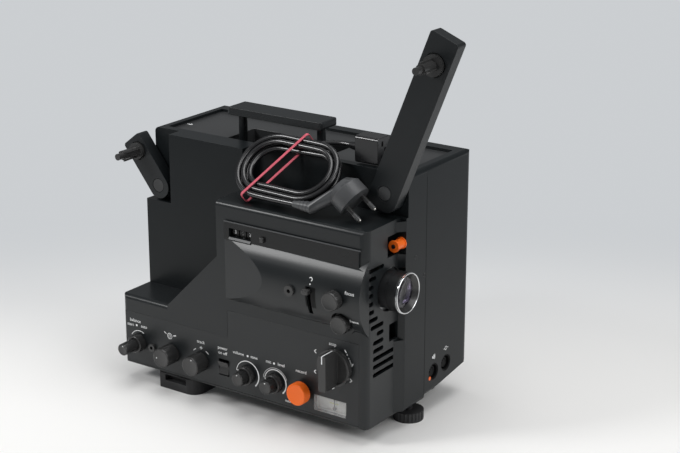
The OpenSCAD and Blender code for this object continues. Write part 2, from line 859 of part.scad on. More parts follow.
module counter_hundreds() {
    color("#d9d9d6") place() number_wheel(0);
}

module counter_reset() {
    color("#151517") place() {
        box(reset_x - 2, reset_x + 2, -4.5, front_in + 2.5, count_z - 2.5, count_z + 2.5);
        box(reset_x - 4, reset_x + 4, front_in + gap, front_in + 2.5, count_z - 4.5, count_z + 4.5);
    }
}

// Headphone socket on the fascia and the round socket on the belly.
module front_sockets() {
    color("#101012") place() {
        difference() {
            union() {
                bar_along_y(4.2, -3, 0, phones_x, row_z);
                bar_along_y(shaft_r, -over, 12, phones_x, row_z);
            }
            bar_along_y(1.8, -4, 10, phones_x, row_z);
        }
        difference() {
            union() {
                bar_along_y(5.5, belly_y - 2.5, belly_y - 0.1, eyelet_x, eyelet_z);
                bar_along_y(4, belly_y - over, belly_y + 9, eyelet_x, eyelet_z);
            }
            bar_along_y(2, belly_y - 4, belly_y + 7, eyelet_x, eyelet_z);
        }
    }
}

// Lever on a ring around the light path, reaching out through the slot in the belly.
module still_lever() {
    color("#1a1a1c") place() {
        difference() {
            bar_along_x(nose_r + 4, lever_x - 2, lever_x + 2, axis_y, axis_z);
            bar_along_x(nose_r + run, lever_x - 3, lever_x + 3, axis_y, axis_z);
        }
        box(lever_x - lever_w / 2, lever_x + lever_w / 2, belly_y - 6, axis_y - nose_r - 2,
            axis_z, axis_z + 3.6);
    }
}

module focus_knob() {
    color("#1a1a1c") place() {
        bar_along_y(small_r, belly_y - small_h, belly_y - gap, focus_x, axis_z);
        bar_along_y(shaft_r, belly_y - over, 18, focus_x, axis_z);
    }
}

module frame_knob() {
    color("#1a1a1c") place() {
        bar_along_y(small_r, frame_floor - small_h - 1, frame_floor - gap, frame_x, frame_z);
        bar_along_y(shaft_r, frame_floor - over, 14, frame_x, frame_z);
    }
}

module lens_barrel() {
    color("#19191b") place() difference() {
        union() {
            bar_along_x(barrel_r, lens_x0, barrel_end - 3, axis_y, axis_z);
            bar_along_x(barrel_r + 1.2, front_l + 7, barrel_end - 3, axis_y, axis_z);
        }
        bar_along_x(barrel_r - 4, lens_x0 - over, barrel_end, axis_y, axis_z);
        for (a = [0 : 12 : 348]) translate([front_l + 9, axis_y, axis_z]) rotate([a, 0, 0])
            translate([0, barrel_r + 1.2, 0]) rotate([0, 90, 0]) cylinder(r = 0.7, h = 5, $fn = 16);
    }
}

module lens_ring() {
    color("#d8dadb") place() difference() {
        bar_along_x(barrel_r + 1.4, barrel_end - 3, barrel_end, axis_y, axis_z);
        bar_along_x(barrel_r - 2, barrel_end - 4, barrel_end + over, axis_y, axis_z);
    }
}

module lens_glass() {
    color("#8fa3b5") place() difference() {
        bar_along_x(barrel_r - 4, barrel_end - 10, barrel_end - 5, axis_y, axis_z);
        translate([barrel_end + 26, axis_y, axis_z]) sphere(r = 33.2, $fn = 64);
    }
}

module lens_holder() {
    color("#8b8d90") place() difference() {
        union() {
            bar_along_x(barrel_r + 3.4, lens_x0 + 2, front_l - wall - 2, axis_y, axis_z);
            box(lens_x0 + 2, front_l - wall - 3, axis_y + barrel_r, plate_y, axis_z - 8, axis_z + 8);
        }
        bar_along_x(barrel_r + run, lens_x0 + over, front_l, axis_y, axis_z);
    }
}

module film_roller() {
    color("#e0621f") place() difference() {
        union() {
            bar_along_y(roller_r, 43, module_d - 0.6, roller_x, roller_z);
            for (y = [43, module_d - 2.1]) bar_along_y(roller_r + 1, y, y + 1.5, roller_x, roller_z);
        }
        bar_along_y(2 + run, 42, module_d, roller_x, roller_z);
    }
}

module din_sockets() {
    color("#131315") place() for (i = [0, 1]) difference() {
        union() {
            bar_along_x(din_r, body_l - 16, body_l - 0.6, din_y[i], din_z[i]);
            bar_along_x(din_r + 2, body_l - 10, body_l - wall, din_y[i], din_z[i]);
        }
        difference() {
            bar_along_x(din_r - 1.4, body_l - 9, body_l + over, din_y[i], din_z[i]);
            bar_along_x(din_r - 3.6, body_l - 10, body_l - 2.5, din_y[i], din_z[i]);
        }
        for (a = [0 : 45 : 180]) translate([body_l - 9, din_y[i], din_z[i]]) rotate([a, 0, 0])
            translate([0, 3.4, 0]) rotate([0, 90, 0]) cylinder(r = 0.8, h = 10, $fn = 16);
    }
}

module mains_inlet() {
    color("#131315") place() {
        difference() {
            union() {
                box(inlet_x - inlet_w / 2, inlet_x + inlet_w / 2, body_d - 22, body_d,
                    inlet_z - inlet_h / 2, inlet_z + inlet_h / 2);
                box(inlet_x - inlet_w / 2 - 3, inlet_x + inlet_w / 2 + 3, body_d - wall - 2, body_d - wall,
                    inlet_z - inlet_h / 2 - 3, inlet_z + inlet_h / 2 + 3);
            }
            box(inlet_x - inlet_w / 2 + 2, inlet_x + inlet_w / 2 - 2, body_d - 18, body_d + over,
                inlet_z - inlet_h / 2 + 2, inlet_z + inlet_h / 2 - 2);
        }
        for (i = [-1, 0, 1]) box(inlet_x + i * 7 - 2, inlet_x + i * 7 + 2, body_d - 19, body_d - 5,
            inlet_z - 1 + (i == 0 ? 3.5 : -1), inlet_z + 1 + (i == 0 ? 3.5 : -1));
    }
}

module motor() {
    color("#6d7074") place() difference() {
        bar_along_y(motor_r, plate_back, plate_back + 45, motor_x, motor_z);
        bar_along_y(shaft_r + run, plate_back - over, plate_back + 46, motor_x, motor_z);
    }
}

// Motor shaft with its pulley and a cooling fan of straight blades.
module motor_rotor() {
    fan_y = plate_back + 47;
    color("#9c9ea0") place() {
        bar_along_y(shaft_r, pulley_y0, fan_y + 12, motor_x, motor_z);
        bar_along_y(motor_pulley_r, pulley_y0, pulley_y1, motor_x, motor_z);
        bar_along_y(8, fan_y, fan_y + 12, motor_x, motor_z);
        for (a = [0 : 40 : 320]) translate([motor_x, 0, motor_z]) rotate([0, a, 0])
            box(7, 25, fan_y, fan_y + 12, -0.6, 0.6);
    }
}

// Flat belt around both pulleys.
module drive_belt() {
    color("#1a1a1a") place() difference() {
        belt_outline(gap + 1.6, pulley_y0 + 0.5, pulley_y1 - 0.5);
        belt_outline(gap, pulley_y0, pulley_y1);
    }
}

module belt_outline(extra, y0, y1) {
    hull() {
        bar_along_y(motor_pulley_r + extra, y0, y1, motor_x, motor_z);
        bar_along_y(fly_pulley_r + extra, y0, y1, fly_x, fly_z);
    }
}

module flywheel() {
    color("#7d7f82") place() {
        bar_along_y(fly_r, plate_back + 3, plate_back + 13, fly_x, fly_z);
        bar_along_y(shaft_r, 30, plate_back + 14, fly_x, fly_z);
        bar_along_y(fly_pulley_r, pulley_y0, pulley_y1, fly_x, fly_z);
    }
}

// Three-bladed shutter on its shaft.
module shutter() {
    color("#303134") place() {
        difference() {
            bar_along_x(shutter_r, shutter_x, shutter_x + 1.2, axis_y, shutter_z);
            for (a = [0, 120, 240]) translate([shutter_x - over, axis_y, shutter_z]) rotate([a, 0, 0])
                rotate([90, 0, 90]) linear_extrude(4) polygon([[8, 3], [shutter_r + 4, 4],
                    [shutter_r + 4, 22], [7, 8]]);
        }
        bar_along_x(2, shutter_x - 4, shutter_x + 13, axis_y, shutter_z);
        bar_along_x(5, shutter_x - 3, shutter_x + 4, axis_y, shutter_z);
    }
}

// Toothed film wheel with two rims on its shaft.
module film_sprocket() {
    color("#d4d2c8") place() {
        bar_along_y(8, 34, 48, sprocket_x, sprocket_z);
        bar_along_y(9.5, 34, 36, sprocket_x, sprocket_z);
        bar_along_y(9.5, 46, 48, sprocket_x, sprocket_z);
        for (a = [0 : 30 : 330]) translate([sprocket_x, 38, sprocket_z]) rotate([0, a, 0])
            box(7, 9, 0, 1, -0.5, 0.5);
        bar_along_y(2.5, 34, plate_back + 4, sprocket_x, sprocket_z);
    }
}

module film_gate() {
    color("#bfc1c3") place() difference() {
        union() {
            box(gate_x, gate_x + 2.5, 30, plate_y, axis_z - 22, axis_z + 22);
            box(gate_x - 6, gate_x + 2.5, plate_y - 3, plate_y, axis_z - 22, axis_z + 22);
        }
        box(gate_x - over, gate_x + 4, axis_y - 2.9, axis_y + 2.9, axis_z - 2.1, axis_z + 2.1);
        box(gate_x - 7, gate_x + 1, axis_y - 4, axis_y + 4, axis_z - 30, axis_z + 30);
    }
}

// Halogen lamp in its cone reflector, with the nose tube of the light path and its bracket.
module lamp() {
    color("#cdd0d3") place() {
        difference() {
            union() {
                translate([lamp_x, axis_y, axis_z]) rotate([0, 90, 0]) cylinder(r1 = 9, r2 = 23, h = 24);
                bar_along_x(nose_r, lamp_x + 22, lamp_x + 51, axis_y, axis_z);
                box(lamp_x + 4, lamp_x + 16, axis_y + 8, plate_y, axis_z - 8, axis_z + 8);
            }
            translate([lamp_x + 6, axis_y, axis_z]) rotate([0, 90, 0]) cylinder(r1 = 6, r2 = 17, h = 18.1);
            bar_along_x(17, lamp_x + 24, lamp_x + 52, axis_y, axis_z);
        }
        bar_along_x(5, lamp_x - over, lamp_x + 18, axis_y, axis_z);
    }
}

module transformer() {
    color("#74655a") place() {
        box(core_x, core_x + core_w, plate_back, plate_back + 46, 14, 56);
        box(core_x + 8, core_x + core_w - 8, plate_back + 6, plate_back + 40, 56, 59);
    }
}

module circuit_board() {
    color("#2f6b3c") place() {
        box(board_x0, board_x1, board_y, board_y + board_t, board_z0, board_z1);
        for (i = [0 : 3]) bar_along_y(7, board_y - 16, board_y, board_x0 + 30 + i * 34, board_z0 + 56);
        for (i = [0 : 4]) let (x = board_x0 + 20 + i * 28)
            box(x, x + 14, board_y - 5, board_y, board_z0 + 76, board_z0 + 84);
    }
}

module loudspeaker() {
    color("#3a3a3d") place() {
        bar_along_y(speaker_r, body_d - wall - 3, body_d - wall, speaker_x, speaker_z);
        translate([speaker_x, body_d - wall - 2, speaker_z]) rotate([90, 0, 0])
            cylinder(r1 = speaker_r - 4, r2 = 16, h = 14);
        bar_along_y(18, body_d - wall - 26, body_d - wall - 14, speaker_x, speaker_z);
    }
}

module cover_screws() {
    color("#8f9194") place() for (x = pillars_x, z = pillars_z) difference() {
        union() {
            bar_along_y(4, body_d - 8, body_d - 5, x, z);
            bar_along_y(2, body_d - 24, body_d - 7, x, z);
        }
        box(x - 3, x + 3, body_d - 6, body_d, z - 0.5, z + 0.5);
        box(x - 0.5, x + 0.5, body_d - 6, body_d, z - 3, z + 3);
    }
}

// Coil of the lead: the turns spiral in on the upper layer and out again on the lower one.
function ease(a) = let (c = min(max(a, 0), 1)) c * c * (3 - 2 * c);
function coil_r(t) = lead_in + lead_pitch * abs(t - lead_mid);
function coil_h(t) = lead_pitch * (1 - ease(2 * (t - lead_mid) + 0.5));
function half_turn(t) = floor(2 * t);
function half_share(t) = 2 * t - half_turn(t);
function coil_angle(t) = let (bend = (half_share(t) - lead_straight) / (1 - 2 * lead_straight))
    -90 - 180 * (half_turn(t) + min(max(bend, 0), 1));
function coil_shift(t) = lead_run * (half_turn(t) % 2 == 0 ? -1 : 1)
    * min(1, half_share(t) / lead_straight, (1 - half_share(t)) / lead_straight);
function coil_point(u, v, h) = coil_c + [u, 0, 0] + v * coil_v + h * coil_w;
function coil_at(t) = let (a = coil_angle(t), r = coil_r(t))
    coil_point(r * cos(a) + coil_shift(t), r * sin(a), coil_h(t));
function shift_at(x) = [x - coil_x, cone_dy * ease((x - bend_x0) / (bend_x1 - bend_x0)),
    cone_dz * ease((x - bend_x0) / (bend_x1 - bend_x0))];

coil_n = lead_steps * lead_turns;
lead_path = concat(
    [for (x = [plug_x : -6.5 : coil_x + 3]) coil_at(0) + [x - coil_x, 0, 0]],
    [for (i = [0 : coil_n]) coil_at(i / lead_steps)],
    [for (x = [coil_x + 6 : 6 : cone_x - 5]) coil_at(lead_turns) + shift_at(x)],
    [coil_at(lead_turns) + shift_at(cone_x)]);
lead_n = len(lead_path);

function unit(v) = v / norm(v);
function lead_dir(i) = i == 0 || i == lead_n - 1 ? [i == 0 ? -1 : 1, 0, 0]
    : unit(lead_path[i + 1] - lead_path[i - 1]);
function lead_ring(i) = let (d = lead_dir(i), s = unit(cross(d, coil_w)), n = cross(s, d))
    [for (k = [0 : lead_sides - 1]) lead_path[i]
        + lead_r * (cos(360 * k / lead_sides) * s + sin(360 * k / lead_sides) * n)];
function ring_faces(i) = [for (k = [0 : lead_sides - 1]) let (a = i * lead_sides + k,
    b = i * lead_sides + (k + 1) % lead_sides)
    each [[a, a + lead_sides, b], [b, a + lead_sides, b + lead_sides]]];
function cap(i, flip) = [for (k = [1 : lead_sides - 2]) let (a = i * lead_sides)
    flip ? [a, a + k + 1, a + k] : [a, a + k, a + k + 1]];

lead_length = sum_length(0);
function sum_length(i) = i >= lead_n - 1 ? 0 : norm(lead_path[i + 1] - lead_path[i]) + sum_length(i + 1);
// least clear distance between path points that lie more than half a turn apart on the lead
lead_clear = min([for (i = [0 : lead_n - 1], j = [0 : lead_n - 1]) if (j > i + 10)
    norm(lead_path[i] - lead_path[j])]) - lead_d;
echo(lead_length = lead_length, lead_clear = lead_clear, coil_centre = coil_c);

module mains_lead() {
    color("#141416") place() polyhedron(points = [for (i = [0 : lead_n - 1]) each lead_ring(i)],
        faces = concat([for (i = [0 : lead_n - 2]) each ring_faces(i)], cap(0, false),
            cap(lead_n - 1, true)));
}

// Angled earthed plug: ribbed relief, neck, round head and two pins.
module lead_plug() {
    start = coil_at(0) + [plug_x - coil_x, 0, 0];
    neck = start + [plug_relief, 0, 0];
    color("#37373a") place() {
        translate(start) rotate([0, 90, 0]) cylinder(r1 = lead_r + 0.6, r2 = 6, h = plug_relief);
        for (i = [0 : 3]) let (x = start[0] + 6 + i * 4.5)
            bar_along_x(4.4 + i * 0.5, x, x + 2.5, start[1], start[2]);
        hull() {
            translate(neck - [2, 0, 0]) rotate([0, 90, 0]) cylinder(r = 6, h = 2, $fn = 24);
            translate(plug_face) rotate([plug_roll, plug_dip, 0]) translate([-20, 0, 0]) rotate([0, 90, 0])
                cylinder(r = 10, h = 10, $fn = 24);
        }
        translate(plug_face) rotate([plug_roll, plug_dip, 0]) {
            bar_along_x(plug_head_r, -14, 0, 0, 0);
            translate([-22, 0, 0]) rotate([0, 90, 0]) cylinder(r1 = 11, r2 = plug_head_r, h = 8);
            for (s = [-1, 1]) {
                bar_along_x(2.4, -over, 17, s * 9.5, 0);
                translate([17, s * 9.5, 0]) rotate([0, 90, 0]) cylinder(r1 = 2.4, r2 = 1.5, h = 2);
            }
        }
    }
}

// Mains connector with a tapered relief and three contact slots in its end face.
module lead_connector() {
    start = coil_at(lead_turns) + shift_at(cone_x);
    x0 = start[0] + cone_relief;
    color("#1b1b1e") place() difference() {
        union() {
            translate(start) rotate([0, 90, 0]) cylinder(r1 = lead_r + 0.6, r2 = 6, h = cone_relief + over);
            translate([0, start[1] - cone_w / 2, start[2] - cone_hh / 2]) along_x(x0, x0 + cone_l)
                round_rect(cone_w, cone_hh, 3);
        }
        for (i = [-1, 0, 1]) translate([x0 + cone_l - 12, start[1] + (i == 0 ? 3 : -2), start[2] + i * 7])
            translate([0, -1.2, -2.4]) cube([13, 2.4, 4.8]);
    }
}

// Rubber band around the waist of the coil.
module lead_band() {
    half = (lead_out + lead_r + 0.2) / cos(band_skew) + band_w / 2 * tan(band_skew);
    tall = lead_pitch + lead_d + 0.8;
    color("#d4566a") place() translate(coil_c) rotate([lead_lean, 0, 0])
        translate([band_u, 0, lead_pitch / 2]) rotate([0, 0, -band_skew]) along_x(-band_w / 2, band_w / 2)
            difference() {
                translate([-half - band_t, -tall / 2 - band_t])
                    round_rect(2 * (half + band_t), tall + 2 * band_t, band_corner + band_t);
                translate([-half, -tall / 2]) round_rect(2 * half, tall, band_corner);
            }
}

front_housing();
control_fascia();
main_frame();
rear_cover();
top_panel();
mechanism_plate();
feet();
screw_foot();
supply_arm();
supply_spindle();
take_up_arm();
take_up_spindle();
arm_pivots();
carry_handle();
left_knob_outer();
left_knob_inner();
tone_knob();
volume_knob();
power_rocker();
mix_knob_outer();
mix_knob_inner();
level_knob_outer();
level_knob_inner();
record_knob();
function_dial();
level_meter();
meter_needle();
counter_axle();
counter_units();
counter_tens();
counter_hundreds();
counter_reset();
front_sockets();
still_lever();
focus_knob();
frame_knob();
lens_barrel();
lens_ring();
lens_glass();
lens_holder();
film_roller();
din_sockets();
mains_inlet();
motor();
motor_rotor();
drive_belt();
flywheel();
shutter();
film_sprocket();
film_gate();
lamp();
transformer();
circuit_board();
loudspeaker();
cover_screws();
mains_lead();
lead_plug();
lead_connector();
lead_band();
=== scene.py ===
"""Looks of a compact black sound film projector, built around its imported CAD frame.

Sizes are millimetres in the corner frame of the body: X to the lens end, Y to the back, Z up from the underside.
metres() takes a point of that frame to the frame of the part.
"""

import json
import logging
import math
from collections.abc import Callable, Iterator, Sequence
from contextlib import contextmanager
from dataclasses import dataclass, field
from enum import Enum
from itertools import pairwise

import bmesh
import bpy
from mathutils import Matrix, Vector

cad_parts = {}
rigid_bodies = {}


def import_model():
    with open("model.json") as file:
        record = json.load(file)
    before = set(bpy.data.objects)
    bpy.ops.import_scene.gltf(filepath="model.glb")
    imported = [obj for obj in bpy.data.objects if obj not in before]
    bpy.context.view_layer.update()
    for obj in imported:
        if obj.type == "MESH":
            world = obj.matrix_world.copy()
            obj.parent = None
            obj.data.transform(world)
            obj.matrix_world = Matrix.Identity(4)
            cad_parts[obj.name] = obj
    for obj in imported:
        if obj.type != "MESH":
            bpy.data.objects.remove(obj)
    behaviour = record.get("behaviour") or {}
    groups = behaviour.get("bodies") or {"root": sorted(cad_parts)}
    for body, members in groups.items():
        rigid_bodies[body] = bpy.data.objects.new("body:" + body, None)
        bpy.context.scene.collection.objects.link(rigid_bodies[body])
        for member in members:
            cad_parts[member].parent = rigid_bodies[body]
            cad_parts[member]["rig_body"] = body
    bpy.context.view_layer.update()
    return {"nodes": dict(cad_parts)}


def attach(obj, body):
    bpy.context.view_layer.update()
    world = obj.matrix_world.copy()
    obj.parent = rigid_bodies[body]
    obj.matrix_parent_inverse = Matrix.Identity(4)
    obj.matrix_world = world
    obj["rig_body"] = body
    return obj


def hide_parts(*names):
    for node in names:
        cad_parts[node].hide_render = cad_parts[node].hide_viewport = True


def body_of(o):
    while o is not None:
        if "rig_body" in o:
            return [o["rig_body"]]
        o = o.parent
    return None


LOG = logging.getLogger("projector")
MM = 0.001
CORNER = Vector((173.62, 76.5, -18.0))
MAIN_BODY = "projector"

# Points of a CAD mesh and of a modelled piece that are closer than this, in metres, are merged
NODE_MERGE, PIECE_MERGE = 2e-6, 1e-6
# Edges of a shell between these angles, in degrees, break its shading, and sharper ones are rounded
BLUNT_EDGE, SHARP_EDGE = 9.5, 40.0
# Angles in degrees up to which shells, turned controls and small pieces are shaded smooth
SHELL_SMOOTH, TURNED_SMOOTH, PIECE_SMOOTH = 50.0, 32.0, 35.0
# Faces of a shell that are wider than this on average, in millimetres, are shaded plane
BROAD_FACE = 9.0
# Angles in degrees below which faces of a CAD mesh, and of a shell, count as one flat face
NODE_FLAT, SHELL_FLAT = 0.5, 0.3
# Foot and face of print, as heights over the printed surface in millimetres
INK_FOOT, INK_FACE = -0.05, 0.06
# Distance behind the front and height of the axis that the lens and the belly share, and the belly's radius
LENS_AXIS = (41.0, 135.0)
BELLY_RADIUS = 53.0

Object = bpy.types.Object
Material = bpy.types.Material
Socket = bpy.types.NodeSocket
Pair = tuple[float, float]
Triple = tuple[float, float, float]
Colour = Triple
Profile = Sequence[Pair]
# Lowest and highest corner of a block and the width of its softened edges
Box = tuple[Triple, Triple, float]


def turn_by(angle: float, axis: str) -> Matrix:
    """Turn about an axis, by an angle in degrees."""
    return Matrix.Rotation(math.radians(angle), 4, axis)


class Facing(Enum):
    """Direction in which a piece that was drawn upwards points once it is in place."""

    UP = Matrix.Identity(4)
    FRONT = turn_by(90, "X")
    LENS_END = turn_by(90, "Z") @ turn_by(90, "X")


def metres(x: float, y: float, z: float) -> Vector:
    """Takes a point of the corner frame, in millimetres, to the frame of the part, in metres."""
    return (Vector((x, y, z)) - CORNER) * MM


def choose(obj: Object) -> None:
    """Makes one object the only selected and the active one."""
    bpy.ops.object.select_all(action="DESELECT")
    obj.select_set(True)
    bpy.context.view_layer.objects.active = obj


@contextmanager
def editing(obj: Object) -> Iterator[None]:
    """Edit mode on one object with everything in it selected."""
    choose(obj)
    bpy.ops.object.mode_set(mode="EDIT")
    bpy.ops.mesh.select_all(action="SELECT")
    try:
        yield
    finally:
        bpy.ops.object.mode_set(mode="OBJECT")


def pick(obj: Object, kind: str, test: Callable[..., bool]) -> None:
    """Selects some parts of an object in edit mode.

    Args:
        obj: the object in edit mode.
        kind: VERT, EDGE or FACE.
        test: says of one such part whether it is taken.
    """
    bpy.ops.mesh.select_mode(type=kind)
    bpy.ops.mesh.select_all(action="DESELECT")
    mesh = bmesh.from_edit_mesh(obj.data)
    for part in {"VERT": mesh.verts, "EDGE": mesh.edges, "FACE": mesh.faces}[kind]:
        if test(part):
            part.select_set(True)
    bmesh.update_edit_mesh(obj.data)


def lift(height: float) -> None:
    """Extrudes what is selected upwards, by a height in millimetres."""
    bpy.ops.mesh.extrude_region_move(TRANSFORM_OT_translate={"value": (0, 0, height * MM)})


def added(operator: Callable[..., set], name: str, **options: object) -> Object:
    """Adds a new object by an operator.

    Args:
        operator: the operator.
        name: name of the object.
        options: what the operator is told.

    Returns:
        The object.
    """
    bpy.ops.object.select_all(action="DESELECT")
    operator(**options)
    made = bpy.context.active_object
    made.name = name
    return made


def put(obj: Object, matrix: Matrix) -> Object:
    """Puts a piece in place and applies that to its mesh.

    Args:
        obj: the piece.
        matrix: its place, in metres.

    Returns:
        The same piece.
    """
    choose(obj)
    obj.matrix_world = matrix
    bpy.ops.object.transform_apply(location=True, rotation=True, scale=True)
    return obj


def settle(obj: Object, at: Vector, facing: Facing) -> Object:
    """Turns a piece that was drawn upwards at the origin and puts it at a point, in metres."""
    return put(obj, Matrix.Translation(at) @ facing.value)


def joined(name: str, parts: Sequence[Object]) -> Object:
    """Joins meshes into one piece.

    Args:
        name: name of the piece.
        parts: the meshes, which the piece takes up.

    Returns:
        The piece.
    """
    bpy.ops.object.select_all(action="DESELECT")
    for part in parts:
        part.select_set(True)
    bpy.context.view_layer.objects.active = parts[0]
    if len(parts) > 1:
        bpy.ops.object.join()
    parts[0].name = name
    return parts[0]


def smooth(obj: Object, angle: float = PIECE_SMOOTH) -> Object:
    """Shades a piece smooth.

    Args:
        obj: the piece.
        angle: greatest angle between faces that the shading runs over, in degrees.

    Returns:
        The same piece.
    """
    choose(obj)
    bpy.ops.object.shade_smooth_by_angle(angle=math.radians(angle))
    return obj


def outward(obj: Object) -> Object:
    """Merges double points and points all faces outwards.

    Args:
        obj: the piece.

    Returns:
        The same piece.
    """
    with editing(obj):
        bpy.ops.mesh.remove_doubles(threshold=PIECE_MERGE)
        bpy.ops.mesh.normals_make_consistent(inside=False)
    return obj


def modify(obj: Object, kind: str, **settings: object) -> None:
    """Adds a modifier to a piece and applies it.

    Args:
        obj: the piece.
        kind: type of the modifier.
        settings: what the modifier is set to.
    """
    choose(obj)
    bpy.ops.object.modifier_add(type=kind)
    modifier = obj.modifiers[-1]
    for name, value in settings.items():
        setattr(modifier, name, value)
    bpy.ops.object.modifier_apply(modifier=modifier.name)


def spun(name: str, profile: Profile, segments: int, fill: str) -> Object:
    """Models a turned mesh: a circle extruded upwards and scaled from step to step.

    Args:
        name: name of the mesh.
        profile: height and radius of each step, in millimetres.
        segments: points around.
        fill: how the circle is filled.

    Returns:
        The closed mesh, drawn upwards at the origin.
    """
    low, radius = profile[0]
    obj = added(bpy.ops.mesh.primitive_circle_add, name, vertices=segments, radius=radius * MM, fill_type=fill,
                location=(0, 0, low * MM))
    bpy.ops.object.transform_apply(location=True, rotation=False, scale=False)
    with editing(obj):
        bpy.ops.mesh.select_mode(type="VERT")
        bpy.ops.mesh.select_all(action="SELECT")
        for (z0, r0), (z1, r1) in pairwise(profile):
            lift(z1 - z0)
            if r1 != r0:
                bpy.ops.transform.resize(value=(r1 / r0, r1 / r0, 1), center_override=(0, 0, z1 * MM))
    return outward(obj)


def turned(name: str, profile: Profile, segments: int = 48) -> Object:
    """Models a solid turned piece from the height and radius of each step, from the foot up."""
    return spun(name, profile, segments, "NGON")


def hoop(name: str, profile: Profile, segments: int = 96) -> Object:
    """Models a turned ring from the height and radius of each corner of its section."""
    return spun(name, (*profile, profile[0]), segments, "NOTHING")


def ribbed(obj: Object, low: float, high: float, rise: float, segments: int) -> Object:
    """Raises every second side face of a turned piece to a grip rib.

    Args:
        obj: the turned piece, still upright at the origin.
        low: least height of a face that becomes a rib, in millimetres.
        high: greatest height of such a face.
        rise: height of the ribs.
        segments: points around the piece.

    Returns:
        The same piece.
    """
    step = 2 * math.pi / segments
    steep = 0.5

    def is_rib(face: bmesh.types.BMFace) -> bool:
        """Every second face of the band between the two heights."""
        centre = face.calc_center_median()
        if abs(face.normal.z) > steep or not low * MM < centre.z < high * MM:
            return False
        return math.floor(math.atan2(centre.y, centre.x) / step) % 2 == 0

    with editing(obj):
        pick(obj, "FACE", is_rib)
        bpy.ops.mesh.extrude_region_shrink_fatten(TRANSFORM_OT_shrink_fatten={"value": rise * MM})
    return obj


def block(name: str, low: Triple, high: Triple, soft: float) -> Object:
    """Models a small block with softened edges between two corners of the corner frame.

    Args:
        name: name of the mesh.
        low: lowest corner, in millimetres.
        high: highest corner.
        soft: width of the softened edges.

    Returns:
        The block, in place.
    """
    obj = added(bpy.ops.mesh.primitive_cube_add, name, size=1)
    with editing(obj):
        bpy.ops.transform.resize(value=[(b - a) * MM for a, b in zip(low, high)], center_override=(0, 0, 0))
        bpy.ops.mesh.bevel(offset=soft * MM, segments=2, affect="EDGES")
    return put(obj, Matrix.Translation(metres(*((a + b) / 2 for a, b in zip(low, high)))))


def sloped(obj: Object, sides: Triple, shift: Triple) -> Object:
    """Makes a wedge of a block by moving the points along one of its edges.

    Args:
        obj: the block.
        sides: sign of the side that the edge is on along each axis, or 0 along the edge.
        shift: how far the points move, in millimetres.

    Returns:
        The same block.
    """
    centre = sum((vertex.co for vertex in obj.data.vertices), Vector()) / len(obj.data.vertices)
    for vertex in obj.data.vertices:
        if all(side * offset > 0 for side, offset in zip(sides, vertex.co - centre) if side):
            vertex.co += Vector(shift) * MM
    return obj


def stroke(line: Callable[[float], Pair], width: Callable[[float], float], steps: int = 1) -> Object:
    """Models one stroke of print: a flat strip laid along a line and raised to the ink's thickness.

    Args:
        line: point of the line, in millimetres, for each share of its length.
        width: width there.
        steps: lengths that the strip is divided into.

    Returns:
        The stroke, drawn flat at the origin.
    """
    nudge = 0.01
    obj = added(bpy.ops.mesh.primitive_grid_add, "stroke", x_subdivisions=steps, y_subdivisions=1, size=2)
    for vertex in obj.data.vertices:
        share = min(max((vertex.co.x + 1) / 2, 0.0), 1.0)
        along = Vector(line(min(share + nudge, 1.0))) - Vector(line(max(share - nudge, 0.0)))
        along.normalize()
        side = math.copysign(width(share) / 2, vertex.co.y)
        spot = Vector(line(share)) + Vector((-along.y, along.x)) * side
        vertex.co = (spot.x * MM, spot.y * MM, INK_FOOT * MM)
    with editing(obj):
        lift(INK_FACE - INK_FOOT)
    return outward(obj)


def straight(start: Pair, end: Pair, width: float) -> Object:
    """Models a straight stroke between two points, in millimetres."""
    return stroke(lambda t: tuple(a + (b - a) * t for a, b in zip(start, end)), lambda t: width)


def arc(centre: Pair, radius: float, turn: Pair, width: Pair) -> Object:
    """Models a bent stroke that may widen along its way.

    Args:
        centre: middle of the bend, in millimetres.
        radius: its radius.
        turn: angles of its start and end, in degrees.
        width: widths at its start and end.

    Returns:
        The stroke, drawn flat at the origin.
    """
    def point(share: float) -> Pair:
        """Point of the bend."""
        angle = math.radians(turn[0] + (turn[1] - turn[0]) * share)
        return centre[0] + radius * math.cos(angle), centre[1] + radius * math.sin(angle)

    fewest, degrees = 6, 8
    steps = max(fewest, round(abs(turn[1] - turn[0]) / degrees))
    return stroke(point, lambda t: width[0] + (width[1] - width[0]) * t, steps)


def lettering(text: str, height: float) -> Object:
    """Models plain letters or figures of the ink's thickness.

    Args:
        text: what they say.
        height: height of a figure, in millimetres.

    Returns:
        The mesh, drawn flat at the origin.
    """
    size_of_figure = 1.4
    obj = added(bpy.ops.object.text_add, "letters")
    obj.data.body = text
    obj.data.size = height * size_of_figure * MM
    obj.data.align_x = obj.data.align_y = "CENTER"
    obj.data.resolution_u = 4
    obj.data.extrude = INK_FACE * MM
    choose(obj)
    bpy.ops.object.convert(target="MESH")
    return outward(bpy.context.active_object)


def wrapped(obj: Object, radius: float) -> Object:
    """Bends a flat drawing around an axis along X at the origin.

    Args:
        obj: the drawing, its face up.
        radius: distance of the drawing from the axis, in millimetres.

    Returns:
        The same object.
    """
    for vertex in obj.data.vertices:
        angle = vertex.co.y / (radius * MM)
        reach = radius * MM + vertex.co.z
        vertex.co = (vertex.co.x, math.sin(angle) * reach, math.cos(angle) * reach)
    return obj


